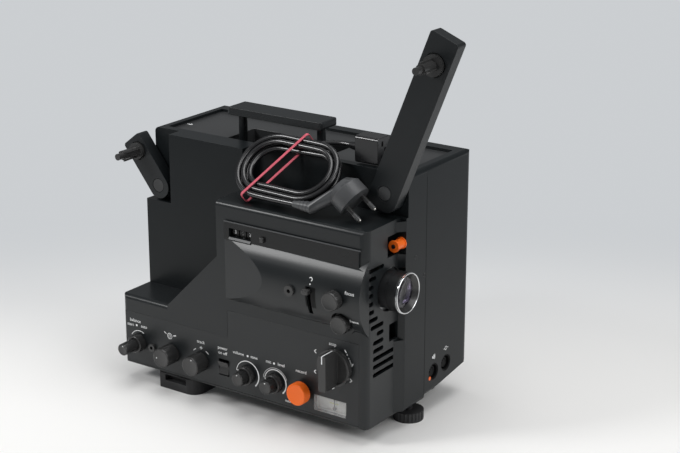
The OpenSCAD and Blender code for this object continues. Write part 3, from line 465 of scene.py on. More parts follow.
@dataclass(frozen=True)
class Wiring:
    """Nodes of one material.

    Attributes:
        tree: the node tree.
    """

    tree: bpy.types.NodeTree

    def own(self, kind: str) -> bpy.types.Node:
        """Node of a type that the tree has from the start."""
        return next(node for node in self.tree.nodes if node.type == kind)

    def feed(self, node: bpy.types.Node, inputs: dict[str | int, object]) -> None:
        """Links or sets inputs of a node.

        Args:
            node: the node.
            inputs: the socket that feeds each input, or the value that the input takes.
        """
        for name, value in inputs.items():
            if isinstance(value, Socket):
                self.tree.links.new(value, node.inputs[name])
            else:
                node.inputs[name].default_value = value

    def add(self, kind: str, inputs: dict[str | int, object], **settings: object) -> bpy.types.Node:
        """Adds a node.

        Args:
            kind: type of the node, without its prefix.
            inputs: what its inputs are fed with.
            settings: what its own settings are.

        Returns:
            The node.
        """
        node = self.tree.nodes.new("ShaderNode" + kind)
        for name, value in settings.items():
            setattr(node, name, value)
        self.feed(node, inputs)
        return node

    def place(self) -> Socket:
        """Object coordinates."""
        return self.add("TexCoord", {}).outputs["Object"]

    def maths(self, operation: str, first: Socket, second: Socket) -> Socket:
        """Reckons with two values."""
        return self.add("Math", {0: first, 1: second}, operation=operation).outputs[0]

    def mix(self, share: Socket, first: Socket | Colour, second: Colour) -> Socket:
        """Mixes a second colour into a first one by a share."""
        start = first if isinstance(first, Socket) else (*first, 1)
        return self.add("Mix", {"Factor": share, "A": start, "B": (*second, 1)}, data_type="RGBA").outputs["Result"]

    def noise(self, place: Socket, scale: float, detail: float) -> Socket:
        """Noise on coordinates, of so many features to a metre and so many octaves."""
        inputs = {"Vector": place, "Scale": scale, "Detail": detail, "Roughness": 0.55}
        return self.add("TexNoise", inputs).outputs["Fac"]

    def span(self, value: Socket, inputs: dict[str, float], smoothly: bool = False) -> Socket:
        """Takes a value from one range to another, along a line or smoothly."""
        course = "SMOOTHSTEP" if smoothly else "LINEAR"
        return self.add("MapRange", {"Value": value, **inputs}, interpolation_type=course).outputs["Result"]


@dataclass(frozen=True)
class Finish:
    """A surface finish, made as one node material.

    Attributes:
        name: name of the material.
        slot: material slot of the record, which is not used.
        colour: main colour, linear.
        tint: second colour that the grain mixes in, linear.
        grain: size of the grain, in millimetres.
        rough: least and greatest roughness.
        bump: depth of the moulded grain, in millimetres.
        metal: metallic share.
        coat: weight of a clear coat.
        wear: share of a paler colour on sharp edges, partly wear and partly a painted highlight along the edges.
        clear: share of light that is refracted through.
        alpha: how far a thin clear sheet hides what is behind it.
        gloss: specular level.
    """

    name: str
    slot: str
    colour: Colour
    tint: Colour
    grain: float = 0.6
    rough: tuple[float, float] = (0.42, 0.55)
    bump: float = 0.04
    metal: float = 0.0
    coat: float = 0.0
    wear: float = 0.0
    clear: float = 0.0
    alpha: float = 1.0
    gloss: float = 0.5

    def material(self) -> Material:
        """Builds the node material, or gives the one that was built before.

        Returns:
            The material.
        """
        found = bpy.data.materials.get(self.name)
        if found:
            return found
        made = bpy.data.materials.new(self.name)
        made.use_nodes = True
        nodes = Wiring(made.node_tree)
        place = nodes.place()
        fine = nodes.noise(place, 1000.0 / self.grain, FINE_DETAIL)
        broad = nodes.noise(place, BROAD_SCALE, BROAD_DETAIL)
        colour = nodes.mix(nodes.maths("MULTIPLY", fine, broad), self.colour, self.tint)
        # Sharp edges are painted paler: partly wear, partly a painted highlight along the edges
        if self.wear:
            rub_and_sheen = nodes.span(nodes.add("NewGeometry", {}).outputs["Pointiness"],
                             {"From Min": RUB_AND_SHEEN_START, "From Max": RUB_AND_SHEEN_FULL, "To Max": self.wear})
            colour = nodes.mix(nodes.maths("MULTIPLY", rub_and_sheen, broad), colour, RUB_AND_SHEEN_COLOUR)
        shader = nodes.own("BSDF_PRINCIPLED")
        nodes.feed(shader, {
            "Base Color": colour, "Metallic": self.metal, "Alpha": self.alpha, "Specular IOR Level": self.gloss,
            "Roughness": nodes.span(broad, {"To Min": self.rough[0], "To Max": self.rough[1]}),
            "Coat Weight": self.coat, "Coat Roughness": COAT_ROUGH, "Transmission Weight": self.clear})
        if self.bump:
            bump = nodes.add("Bump", {"Strength": BUMP_SHARE, "Distance": self.bump * MM, "Height": fine})
            nodes.feed(shader, {"Normal": bump.outputs["Normal"]})
        return made

    def dress(self, obj: Object) -> None:
        """Gives an object this finish as its only material."""
        obj.data.materials.clear()
        obj.data.materials.append(self.material())


# Octaves of the fine grain, features to a metre and octaves of the broad cloud
FINE_DETAIL, BROAD_SCALE, BROAD_DETAIL = 3.0, 28.0, 2.0
# Pointiness at which the paler edge, partly wear and partly a painted highlight, begins and is full, and its colour
RUB_AND_SHEEN_START, RUB_AND_SHEEN_FULL, RUB_AND_SHEEN_COLOUR = 0.53, 0.62, (0.16, 0.165, 0.17)
# Roughness of a clear coat and share of the moulded grain
COAT_ROUGH, BUMP_SHARE = 0.12, 0.35

HOUSING = Finish("moulded_black", "housing_plastic", (0.0082, 0.0102, 0.0113), (0.0125, 0.0150, 0.0163), 0.7,
                 (0.31, 0.34), 0.05, gloss=0.2)
FRONT = Finish("front_black", "housing_plastic", (0.0088, 0.0108, 0.0119), (0.0130, 0.0155, 0.0168), 0.7,
               (0.31, 0.34), 0.05, gloss=0.4)
# Paler copy of the housing black for the top panel: painted light on its upward face
LIT_TOP = Finish("top_black_painted_light", "housing_plastic", (0.026, 0.0272, 0.0282), (0.034, 0.0353, 0.0364), 0.7, (0.31, 0.35), 0.05)
FASCIA = Finish("fascia_black", "fascia", (0.0110, 0.0130, 0.0142), (0.0160, 0.0186, 0.0200), 0.45, (0.37, 0.40),
                0.02, gloss=0.45)
STRIP = Finish("strip_black", "fascia", (0.005, 0.0056, 0.0061), (0.008, 0.009, 0.0098), 0.5, (0.24, 0.30), 0.0,
               gloss=0.35)
ARM = Finish("arm_black", "arm_plastic", (0.0062, 0.0079, 0.0090), (0.0115, 0.0140, 0.0156), 0.6, (0.34, 0.44), 0.04,
             gloss=0.4)
KNOB = Finish("knob_black", "knob_black", (0.0062, 0.0074, 0.0082), (0.0115, 0.0130, 0.0140), 0.5, (0.38, 0.48), 0.02,
              wear=0.7, gloss=0.4)
# Pale grey of the ledge over the strip: a painted highlight along its edge
EDGE_HIGHLIGHT = Finish("painted_highlight_grey", "fascia", (0.050, 0.053, 0.056), (0.068, 0.071, 0.075), 0.5, (0.30, 0.36), 0.0)
# Near-black of the DIN sockets, also used for dark strips painted as shade in the cover's seam and the lever's slot
SOCKET_AND_SHADE = Finish("socket_and_shade_black", "knob_black", (0.0022, 0.0024, 0.0026), (0.0040, 0.0043, 0.0046), 0.5, (0.5, 0.6), 0.0,
                gloss=0.2)
ORANGE = Finish("signal_orange", "orange", (0.92, 0.145, 0.010), (0.97, 0.19, 0.02), 0.8, (0.28, 0.36), 0.02,
                gloss=0.35)
METER = Finish("meter_silver", "meter_face", (0.46, 0.46, 0.43), (0.56, 0.56, 0.53), 0.5, (0.35, 0.45), 0.01)
WHEEL = Finish("wheel_black", "number_wheels", (0.010, 0.010, 0.010), (0.016, 0.016, 0.016), 0.4, (0.45, 0.55), 0.02)
NEEDLE = Finish("needle_black", "needle", (0.010, 0.010, 0.010), (0.02, 0.02, 0.02), 0.4, (0.4, 0.5), 0.0)
STEEL = Finish("zinc_steel", "steel", (0.42, 0.43, 0.44), (0.54, 0.55, 0.56), 0.8, (0.30, 0.44), 0.01, metal=1.0)
ALLOY = Finish("cast_alloy", "light_metal", (0.46, 0.47, 0.48), (0.58, 0.59, 0.60), 1.2, (0.36, 0.52), 0.05, metal=1.0)
SPROCKET = Finish("ivory_plastic", "sprocket_plastic", (0.62, 0.59, 0.50), (0.70, 0.67, 0.58), 0.6, (0.4, 0.5), 0.02)
BARREL = Finish("anodised_black", "barrel", (0.016, 0.0168, 0.018), (0.023, 0.024, 0.026), 0.4, (0.34, 0.42), 0.02,
                gloss=0.6)
CHROME = Finish("bright_chrome", "lens_trim", (0.72, 0.73, 0.74), (0.78, 0.79, 0.80), 0.5, (0.10, 0.16), 0.0,
                metal=1.0)
GLASS = Finish("coated_glass", "lens_glass", (0.20, 0.17, 0.27), (0.24, 0.20, 0.31), 2.0, (0.05, 0.08), 0.0,
               coat=0.2, clear=1.0, gloss=0.25)
RUBBER = Finish("foot_rubber", "feet", (0.012, 0.012, 0.013), (0.022, 0.022, 0.023), 0.8, (0.62, 0.74), 0.06,
                wear=0.3)
BELT = Finish("belt_rubber", "belt", (0.012, 0.012, 0.012), (0.02, 0.02, 0.02), 0.8, (0.6, 0.7), 0.05)
CORE = Finish("winding_brown", "core", (0.17, 0.10, 0.06), (0.24, 0.15, 0.10), 1.0, (0.4, 0.55), 0.05)
BOARD = Finish("board_green", "board", (0.02, 0.13, 0.045), (0.03, 0.17, 0.06), 1.2, (0.3, 0.4), 0.03)
CONE = Finish("cone_paper", "speaker", (0.035, 0.035, 0.037), (0.055, 0.055, 0.058), 1.0, (0.7, 0.85), 0.10)
LEAD = Finish("lead_vinyl", "lead", (0.007, 0.007, 0.008), (0.012, 0.012, 0.013), 0.7, (0.22, 0.30), 0.02, gloss=0.75)
MOULD = Finish("plug_grey", "lead_mould", (0.026, 0.027, 0.029), (0.038, 0.039, 0.042), 0.6, (0.34, 0.44), 0.05,
               wear=0.5)
NICKEL = Finish("nickel", "steel", (0.58, 0.56, 0.52), (0.66, 0.64, 0.60), 0.5, (0.16, 0.26), 0.0, metal=1.0)
BAND = Finish("band_rubber", "band", (0.56, 0.085, 0.125), (0.64, 0.13, 0.17), 0.6, (0.40, 0.50), 0.02)
BLACKED = Finish("blackened_steel", "steel", (0.010, 0.0105, 0.011), (0.018, 0.019, 0.02), 0.6, (0.34, 0.46), 0.02,
                 wear=0.4)
ZONE = Finish("zone_green", "meter_face", (0.42, 0.44, 0.12), (0.50, 0.51, 0.17), 0.5, (0.45, 0.55), 0.0)
WINDOW = Finish("meter_window", "lens_glass", (0.93, 0.94, 0.94), (0.96, 0.97, 0.97), 2.0, (0.03, 0.05), 0.0,
                alpha=0.16)
INK = Finish("white_print", "number_wheels", (0.90, 0.91, 0.91), (0.95, 0.955, 0.955), 0.4, (0.5, 0.6), 0.0)

NODE_FINISH: dict[str, Finish] = {name: finish for finish, names in (
    (FRONT, "front_housing"), (FASCIA, "control_fascia"), (HOUSING, "main_frame rear_cover"), (LIT_TOP, "top_panel"),
    (STEEL, "mechanism_plate counter_axle motor_rotor flywheel film_gate cover_screws"),
    (RUBBER, "feet screw_foot"), (ARM, "supply_arm take_up_arm carry_handle"), (BLACKED, "arm_pivots"),
    (KNOB, "supply_spindle take_up_spindle left_knob_outer left_knob_inner tone_knob volume_knob power_rocker"),
    (KNOB, "mix_knob_outer mix_knob_inner level_knob_outer level_knob_inner function_dial counter_reset"),
    (KNOB, "front_sockets still_lever focus_knob frame_knob mains_inlet"), (ORANGE, "record_knob film_roller"),
    (METER, "level_meter"), (NEEDLE, "meter_needle"), (WHEEL, "counter_units counter_tens counter_hundreds"),
    (BARREL, "lens_barrel shutter"), (CHROME, "lens_ring lamp"), (GLASS, "lens_glass"),
    (ALLOY, "lens_holder motor"), (SOCKET_AND_SHADE, "din_sockets"), (BELT, "drive_belt"), (SPROCKET, "film_sprocket"),
    (CORE, "transformer"), (BOARD, "circuit_board"), (CONE, "loudspeaker"), (LEAD, "mains_lead lead_connector"),
    (MOULD, "lead_plug"), (BAND, "lead_band"),
) for name in names.split()}


@dataclass
class Studio:
    """Camera, floor and soft light.

    Attributes:
        eye: place of the camera, in metres.
        pitch: camera's tilt up from straight down, in degrees.
        yaw: camera's turn, in degrees.
        lens: focal length on the sensor.
        sensor: width of the sensor.
        paper: colour of the floor near the body, and the painted shade that it takes far from it.
        fade: distances from the body at which the floor's painted shade begins and is full, in metres.
        backdrop: colour that the floor takes on far behind the body.
        rise: distances behind the body at which that begins and is full, in metres.
        sky: colour of the world.
        aim: point that the lamps look at, in metres.
        lamps: name, place, side in metres and power in watts of each lamp.
    """

    eye: Triple = (0.96268, -1.3085, 0.7176)
    pitch: float = 71.72
    yaw: float = 34.81
    lens: float = 88.9
    sensor: float = 36.0
    paper: tuple[Colour, Colour] = ((0.88, 0.873, 0.86), (0.46, 0.465, 0.47))
    fade: Pair = (0.34, 1.1)
    backdrop: Colour = (0.60, 0.62, 0.64)
    rise: Pair = (-0.05, 0.60)
    sky: Colour = (0.80, 0.82, 0.84)
    aim: Triple = (0, 0, 0.13)
    lamps: tuple[tuple[str, Triple, float, float], ...] = (
        ("key_lamp", (-1.0, -1.2, 1.25), 0.45, 15), ("end_lamp", (1.8, -0.1, 1.3), 1.4, 17),
        ("top_lamp", (0.15, 0.1, 2.2), 1.6, 27))

    def camera(self) -> None:
        """Puts the camera at the photograph's place."""
        bpy.ops.object.camera_add(location=self.eye,
                                  rotation=(math.radians(self.pitch), 0, math.radians(self.yaw)))
        cam = bpy.context.active_object
        cam.name = "photo_camera"
        cam.data.lens = self.lens
        cam.data.sensor_width = self.sensor
        cam.data.clip_end = 100.0
        bpy.context.scene.camera = cam

    def floor(self) -> None:
        """Lays a wide pale floor with painted shade that darkens it a little away from the body, where the light on a
        paper sweep falls off.
        """
        floor = added(bpy.ops.mesh.primitive_plane_add, "studio_floor", size=60)
        made = bpy.data.materials.new("floor_paper")
        made.use_nodes = True
        nodes = Wiring(made.node_tree)
        place = nodes.place()
        turn = nodes.add("Mapping", {"Vector": place, "Rotation": (0, 0, math.radians(-self.yaw))})
        ahead = nodes.add("SeparateXYZ", {0: turn.outputs["Vector"]}).outputs["Y"]
        reach = nodes.add("VectorMath", {0: place}, operation="LENGTH").outputs["Value"]
        # Painted shade: the floor's colour darkens with distance from the body
        paper = nodes.mix(self._step(nodes, reach, self.fade), *self.paper)
        shader = nodes.own("BSDF_PRINCIPLED")
        nodes.feed(shader, {"Base Color": paper, "Roughness": 0.8, "Specular IOR Level": 0.1})
        glow = nodes.add("Emission", {"Color": (*self.backdrop, 1)})
        path = nodes.add("LightPath", {}).outputs
        seen = path["Is Camera Ray"]
        for other in ("Is Glossy Ray", "Is Transmission Ray"):
            seen = nodes.maths("MAXIMUM", seen, path[other])
        far = nodes.maths("MULTIPLY", seen, self._step(nodes, ahead, self.rise))
        both = nodes.add("MixShader", {0: far, 1: shader.outputs[0], 2: glow.outputs[0]})
        nodes.feed(nodes.own("OUTPUT_MATERIAL"), {"Surface": both.outputs[0]})
        floor.data.materials.append(made)

    @staticmethod
    def _step(nodes: Wiring, value: Socket, ends: Pair) -> Socket:
        """Smooth step of a value from 0 to 1 between two ends."""
        return nodes.span(value, {"From Min": ends[0], "From Max": ends[1]}, smoothly=True)

    def light(self) -> None:
        """Sets the view transform, an even pale world and the soft square lamps."""
        scene = bpy.context.scene
        scene.view_settings.view_transform = "Standard"
        world = bpy.data.worlds.new("studio")
        world.use_nodes = True
        nodes = Wiring(world.node_tree)
        nodes.feed(nodes.own("BACKGROUND"), {"Color": (*self.sky, 1), "Strength": 0.25})
        scene.world = world
        for name, at, size, power in self.lamps:
            back = Vector(at) - Vector(self.aim)
            bpy.ops.object.light_add(type="AREA", location=at, rotation=back.to_track_quat("Z", "Y").to_euler())
            light = bpy.context.active_object
            light.name = name
            light.data.size = size
            light.data.energy = power


@dataclass
class Lead:
    """Coiled mains lead on the shelf, with its plug, connector and rubber band.

    Attributes:
        diameter: diameter of the lead.
        pitch: step between neighbouring turns and layers.
        turns: turns of the coil.
        inner: radius of the innermost turn.
        run: half length of the straight runs.
        straight: share of a half turn on either side of its bend that runs straight.
        lean: lean of the coil, in degrees.
        foot: lowest point of the coil's middle line in the corner frame.
        plug_x: where the plug begins.
        bend: where the tail's bend begins and ends.
        cone_x: where the connector begins.
        drift: how far the tail moves back and up in its bend.
        plug_face: middle of the plug's face.
        plug_turn: roll and dip of the plug, in degrees.
        pin_side: distance of a pin from the plug's middle.
        pin: distance from the plug's face and radius of each step of a pin.
        sleeve: the same of the sleeve on a pin.
        samples: points for each turn.
        to_plug: points between the coil and the plug, and the step between them.
        to_cone: points between the coil and the connector.
    """

    diameter: float = 5.6
    pitch: float = 6.3
    turns: float = 4.5
    inner: float = 22.6
    run: float = 22.0
    straight: float = 1 / 6
    lean: float = 42.0
    foot: Triple = (193.6, 12.5, 208.7)
    plug_x: float = 220.0
    bend: Pair = (201.0, 234.0)
    cone_x: float = 240.0
    drift: Pair = (7.6, 2.6)
    plug_face: Triple = (278.8, 26.0, 221.4)
    plug_turn: Pair = (33.0, 37.0)
    pin_side: float = 9.5
    pin: Profile = ((8.0, 2.4), (16.6, 2.4), (18.4, 1.9), (19.06, 1.2))
    sleeve: Profile = ((-0.1, 2.5), (8.8, 2.5), (9.2, 2.42), (9.2, 2.2))
    samples: int = 72
    to_plug: tuple[int, float] = (8, 3)
    to_cone: int = 22

    def centre(self) -> Vector:
        """Middle of the coil in the corner frame."""
        return Vector(self.foot) + (self.inner + self.pitch * self.turns / 2) * self.across()

    def across(self) -> Vector:
        """Direction up the leaning coil."""
        return Vector((0, math.cos(math.radians(self.lean)), math.sin(math.radians(self.lean))))

    def through(self) -> Vector:
        """Direction square to the leaning coil."""
        return Vector((0, -math.sin(math.radians(self.lean)), math.cos(math.radians(self.lean))))

    @staticmethod
    def ease(share: float) -> float:
        """Smooth step from 0 to 1."""
        held = min(max(share, 0.0), 1.0)
        return held * held * (3 - 2 * held)

    def coil(self, turn: float) -> Vector:
        """Point of the coil.

        Args:
            turn: turns up to the point.

        Returns:
            The point in the corner frame.
        """
        half = math.floor(2 * turn)
        share = 2 * turn - half
        bend = min(max((share - self.straight) / (1 - 2 * self.straight), 0.0), 1.0)
        angle = math.radians(-90 - 180 * (half + bend))
        middle = self.turns / 2
        radius = self.inner + self.pitch * abs(turn - middle)
        push = min(1.0, share / self.straight, (1 - share) / self.straight) * (-1 if half % 2 == 0 else 1)
        along = radius * math.cos(angle) + self.run * push
        height = self.pitch * (1 - self.ease(2 * (turn - middle) + 0.5))
        return (self.centre() + Vector((along, 0, 0)) + radius * math.sin(angle) * self.across()
                + height * self.through())

    def tail(self, x: float) -> Vector:
        """Shift of the tail's point at a length from the coil's end point."""
        share = self.ease((x - self.bend[0]) / (self.bend[1] - self.bend[0]))
        return Vector((x - self.foot[0], self.drift[0] * share, self.drift[1] * share))

    def route(self) -> list[Vector]:
        """Whole route from the connector to the plug.

        Returns:
            Points in metres, in the frame of the part.
        """
        start, end = self.coil(0), self.coil(self.turns)
        steps = round(self.samples * self.turns)
        first = self.foot[0]
        count, step = self.to_plug
        points = [start + Vector((self.plug_x - first - step * i, 0, 0)) for i in range(count)]
        points += [self.coil(i / self.samples) for i in range(steps + 1)]
        points += [end + self.tail(first + (self.cone_x - first) * i / self.to_cone)
                   for i in range(1, self.to_cone + 1)]
        return [metres(*p) for p in reversed(points)]

    def pins(self, name: str, profile: Profile, finish: Finish) -> Object:
        """Turns a pair of pins, or of the sleeves on them, on the plug's face.

        Args:
            name: name of the piece.
            profile: distance from the plug's face and radius of each step.
            finish: finish of the piece.

        Returns:
            The piece.
        """
        roll, dip = self.plug_turn
        face = Matrix.Translation(metres(*self.plug_face)) @ turn_by(dip, "Y") @ turn_by(roll, "X")
        made = [put(smooth(turned("pin", profile, 28)),
                    face @ Matrix.Translation((0, side * self.pin_side * MM, 0)) @ turn_by(90, "Y"))
                for side in (-1, 1)]
        return placed(joined(name, made), finish, MAIN_BODY)

    def build(self, nodes: dict[str, Object]) -> None:
        """Lays the lead as one round cord and dresses what is on it.

        Args:
            nodes: the CAD nodes.
        """
        route = self.route()
        cord = added(bpy.ops.curve.primitive_nurbs_path_add, "lead_cord")
        curve = cord.data
        curve.splines.clear()
        line = curve.splines.new("POLY")
        line.points.add(len(route) - 1)
        for point, place in zip(line.points, route):
            point.co = (*place, 1)
        curve.bevel_depth = self.diameter / 2 * MM
        curve.bevel_resolution = 5
        curve.use_fill_caps = True
        LEAD.dress(cord)
        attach(cord, MAIN_BODY)
        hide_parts("mains_lead")
        ends = [softened(nodes[name], width) for name, width in
                (("lead_plug", 0.4), ("lead_connector", 0.6), ("lead_band", 0.4))]
        pins = self.pins("plug_pins", self.pin, NICKEL)
        sleeves = self.pins("pin_sleeves", self.sleeve, KNOB)


@dataclass(frozen=True)
class Shells:
    """Moulded shells and levers with their edges broken, each on the shape of its CAD node.

    Attributes:
        widths: width of the broken edge of each node, in millimetres.
    """

    widths: dict[str, float] = field(default_factory=lambda: {
        "front_housing": 0.8, "main_frame": 0.35, "rear_cover": 0.35, "top_panel": 0.5, "carry_handle": 0.9,
        "supply_arm": 0.8, "take_up_arm": 0.8, "control_fascia": 0.5, "power_rocker": 0.4, "still_lever": 0.5,
        "function_dial": 0.45, "film_roller": 0.3, "feet": 0.7, "counter_reset": 0.4})

    def build(self, nodes: dict[str, Object]) -> None:
        """Models each shell on its CAD node."""
        for name, width in self.widths.items():
            softened(nodes[name], width)


@dataclass(frozen=True)
class Knob:
    """Turned control knob with a grip and white dots.

    Attributes:
        node: CAD node that it stands for, which is also its body.
        at: place of its axis along and up the panel.
        profile: height before the panel and radius of each step.
        grip: lowest and highest middle of a face that is ribbed, or nothing.
        dots: each dot's offset along and up, and its height before the panel.
        finish: its finish.
        sides: points around it.
        rib: height of its ribs.
        dot: height over the face and radius of each step of a dot.
    """

    node: str
    at: Pair
    profile: Profile
    grip: Pair | None = None
    dots: tuple[Triple, ...] = ()
    finish: Finish = KNOB
    sides: int = 72
    rib: float = 0.3
    dot: Profile = ((-0.1, 0.62), (0.06, 0.62), (0.12, 0.45))

    def build(self) -> None:
        """Turns the knob, ribs its side and sets its dots."""
        x, z = self.at
        knob = turned(self.node + "_turned", self.profile, self.sides)
        if self.grip:
            ribbed(knob, *self.grip, self.rib, self.sides)
        settle(smooth(knob, TURNED_SMOOTH), metres(x, 0, z), Facing.FRONT)
        placed(knob, self.finish, self.node, self.node)
        marks = [settle(turned("dot", [(face + h, r) for h, r in self.dot], 16),
                        metres(x + dx, 0, z + dz), Facing.FRONT) for dx, dz, face in self.dots]
        if marks:
            placed(joined(self.node + "_dots", marks), INK, self.node)


def plain_cap(radius: float, low: float, high: float, stem: float = 3.0) -> Profile:
    """Profile of a knob of a radius between two heights, with a stem, a straight grip and a dished face."""
    return ((low - 2.5, stem), (low, stem), (low, radius - 0.7), (low + 0.5, radius - 0.3),
            (high - 1.0, radius - 0.3), (high - 0.3, radius - 0.7), (high, radius - 1.4),
            (high - 0.25, radius - 2.0))


def cup_ring(radius: float, high: float, bore: float) -> Profile:
    """Profile of the outer ring of a double knob, of a radius and a height, with a bore for the cap in it."""
    return ((0.4, radius - 0.7), (0.9, radius - 0.3), (high - 0.8, radius - 0.3), (high - 0.1, radius - 1.0),
            (high - 0.1, bore + 0.5), (high - 0.4, bore), (1.2, bore - 0.1))


@dataclass(frozen=True)
class Panel:
    """Knobs of the control panel and the belly, the dial's pointer, the meter, the painted shade of the still lever's
    slot and the lever's cap.

    Attributes:
        row: height of the row of knobs.
        record: profile of the record button.
        line: the pointer's white line over the dial's grip and down its face.
        plate: the meter's face.
        band: the pale band of its scale.
        window: its window.
        scale: foot of its first tick.
        ticks: number of ticks, the step between them and every which one is tall.
        tick: height of a short and of a tall tick, and their width.
        zone: left end of its coloured zone.
        zone_size: length and width of the zone.
        slot_x: middle of the still lever's slot.
        slot: lowest point and length of the painted slot shade around the belly.
        cheeks: offset from the slot and width of each dark strip of painted shade in the slot.
        cap: the lever's cap.
    """

    row: float = 25.0
    record: Profile = ((-6, 4.0), (4.4, 4.0), (4.4, 11.0), (4.9, 11.4), (12.9, 11.4), (13.7, 10.9), (14.0, 10.1),
                       (13.8, 9.2))
    line: tuple[Box, Box] = (((274.4, -24.08, 78.35), (275.6, -6.5, 78.58), 0.05),
                             ((274.4, -24.08, 70.5), (275.6, -23.85, 78.58), 0.05))
    plate: Box = ((249.2, 8.6, 8.2), (286.8, 9.05, 24.1), 0.1)
    band: Box = ((249.6, 8.35, 19.9), (286.4, 8.7, 23.8), 0.08)
    window: Box = ((249.25, -1.2, 8.25), (286.75, 1.0, 24.05), 0.25)
    scale: Triple = (253.0, 8.35, 20.1)
    ticks: tuple[int, float, int] = (11, 3, 5)
    tick: Triple = (1.3, 2.2, 0.35)
    zone: Triple = (261.0, 8.6, 15.5)
    zone_size: Pair = (11, 1.1)
    slot_x: float = 251.0
    slot: Pair = (-15.5, 21.5)
    cheeks: tuple[Pair, ...] = ((-3.2, 1.6), (5.2, 5.6))
    cap: Box = ((246.8, -18.7, 134.4), (254.6, -13.4, 139.2), 0.9)

    def knobs(self) -> tuple[Knob, ...]:
        """The turned knobs."""
        z = self.row
        double = cup_ring(10.0, 8.0, 7.7)
        return (
            Knob("left_knob_outer", (22, 27), cup_ring(9.5, 10.0, 6.9), (3, 7), ((-6.9, 2.9, 9.9),)),
            Knob("left_knob_inner", (22, 27), plain_cap(6.4, 4.0, 28.0, 2.6), (8, 24), ((0.9, 4.2, 27.8),)),
            Knob("tone_knob", (66.5, z), plain_cap(10.5, 0.5, 19.0), (5, 14), ((-5.3, -0.6, 18.8),)),
            Knob("volume_knob", (105.5, z), plain_cap(10.5, 0.5, 19.0), (5, 14), ((2.1, 7.6, 18.8),)),
            Knob("mix_knob_outer", (166, z), double, (2, 6), ((-6.2, 6.2, 7.9),)),
            Knob("mix_knob_inner", (166, z), plain_cap(7.2, 4.0, 18.0, 2.6), (7, 14), ((0, 4.9, 17.8),)),
            Knob("level_knob_outer", (201, z), double, (2, 6), ((-6.6, 5.8, 7.9),)),
            Knob("level_knob_inner", (201, z), plain_cap(7.2, 4.0, 18.0, 2.6), (7, 14), ((0, 4.9, 17.8),)),
            Knob("record_knob", (236, z), self.record, finish=ORANGE),
            Knob("focus_knob", (282, 135), plain_cap(9.5, 12.5, 22.0), (14, 20)),
            Knob("frame_knob", (286, 109), plain_cap(9.5, 2.5, 13.0), (4, 11)),
        )

    def pointer(self) -> None:
        """Lays the white line over the dial's grip."""
        lines = [block("line", *box) for box in self.line]
        placed(joined("dial_pointer", lines), INK, "function_dial")

    def gauge(self) -> None:
        """Builds the meter's scale and window."""
        placed(block("meter_plate", *self.plate), METER, MAIN_BODY)
        placed(block("meter_band", *self.band), INK, MAIN_BODY)
        count, step, every = self.ticks
        short, tall, width = self.tick
        x, y, z = self.scale
        ticks = [settle(straight((0, 0), (0, short if i % every else tall), width), metres(x + step * i, y, z),
                        Facing.FRONT) for i in range(count)]
        placed(joined("meter_ticks", ticks), NEEDLE, MAIN_BODY)
        length, width = self.zone_size
        zone = settle(straight((0, 0), (length, 0), width), metres(*self.zone), Facing.FRONT)
        placed(joined("meter_zone", [zone]), ZONE, MAIN_BODY)
        placed(block("meter_window", *self.window), WINDOW, MAIN_BODY)

    def lever(self) -> None:
        """Lays dark strips of painted shade for the lever's slot on the belly and sets a cap on the lever."""
        at = Matrix.Translation(metres(self.slot_x, *LENS_AXIS)) @ Facing.FRONT.value
        low, length = self.slot
        # Dark strips on the belly beside the lever: painted shade of its slot
        cheeks = [stroke(lambda t, x=x: (x, length * t + low), lambda t, w=w: w, 10) for x, w in self.cheeks]
        wraps = [put(wrapped(slot_shade, BELLY_RADIUS), at) for slot_shade in cheeks]
        placed(joined("lever_slot_shade", wraps), SOCKET_AND_SHADE, MAIN_BODY)
        placed(block("lever_cap", *self.cap), KNOB, "still_lever")

    def build(self) -> None:
        """Builds all of it."""
        for knob in self.knobs():
            knob.build()
        self.pointer()
        self.gauge()
        self.lever()


@dataclass(frozen=True)
class Counter:
    """Figures on the three wheels of the film counter.

    Attributes:
        axis: distance behind the front and height of the wheels' axis.
        radius: radius of the wheels.
        places: middle of each wheel and the figure that it shows.
        height: height of a figure.
    """

    axis: Pair = (13.5, 173.5)
    radius: float = 11.0
    places: tuple[tuple[str, float, int], ...] = (("counter_hundreds", 152.35, 3), ("counter_tens", 161.35, 1),
                                                  ("counter_units", 170.35, 2))
    height: float = 3.5

    def figure(self, value: int) -> Object:
        """Models one figure bent to the wheel's round, about an axis along X at the origin."""
        return wrapped(lettering(str(value), self.height), self.radius)

    def build(self) -> None:
        """Sets ten figures on each wheel."""
        count = 10
        for wheel, x, shown in self.places:
            at = Matrix.Translation(metres(x, *self.axis)) @ Facing.FRONT.value
            figures = [put(self.figure(k), at @ turn_by(360 / count * (k - shown), "X")) for k in range(count)]
            placed(joined(wheel + "_figures", figures), INK, wheel)


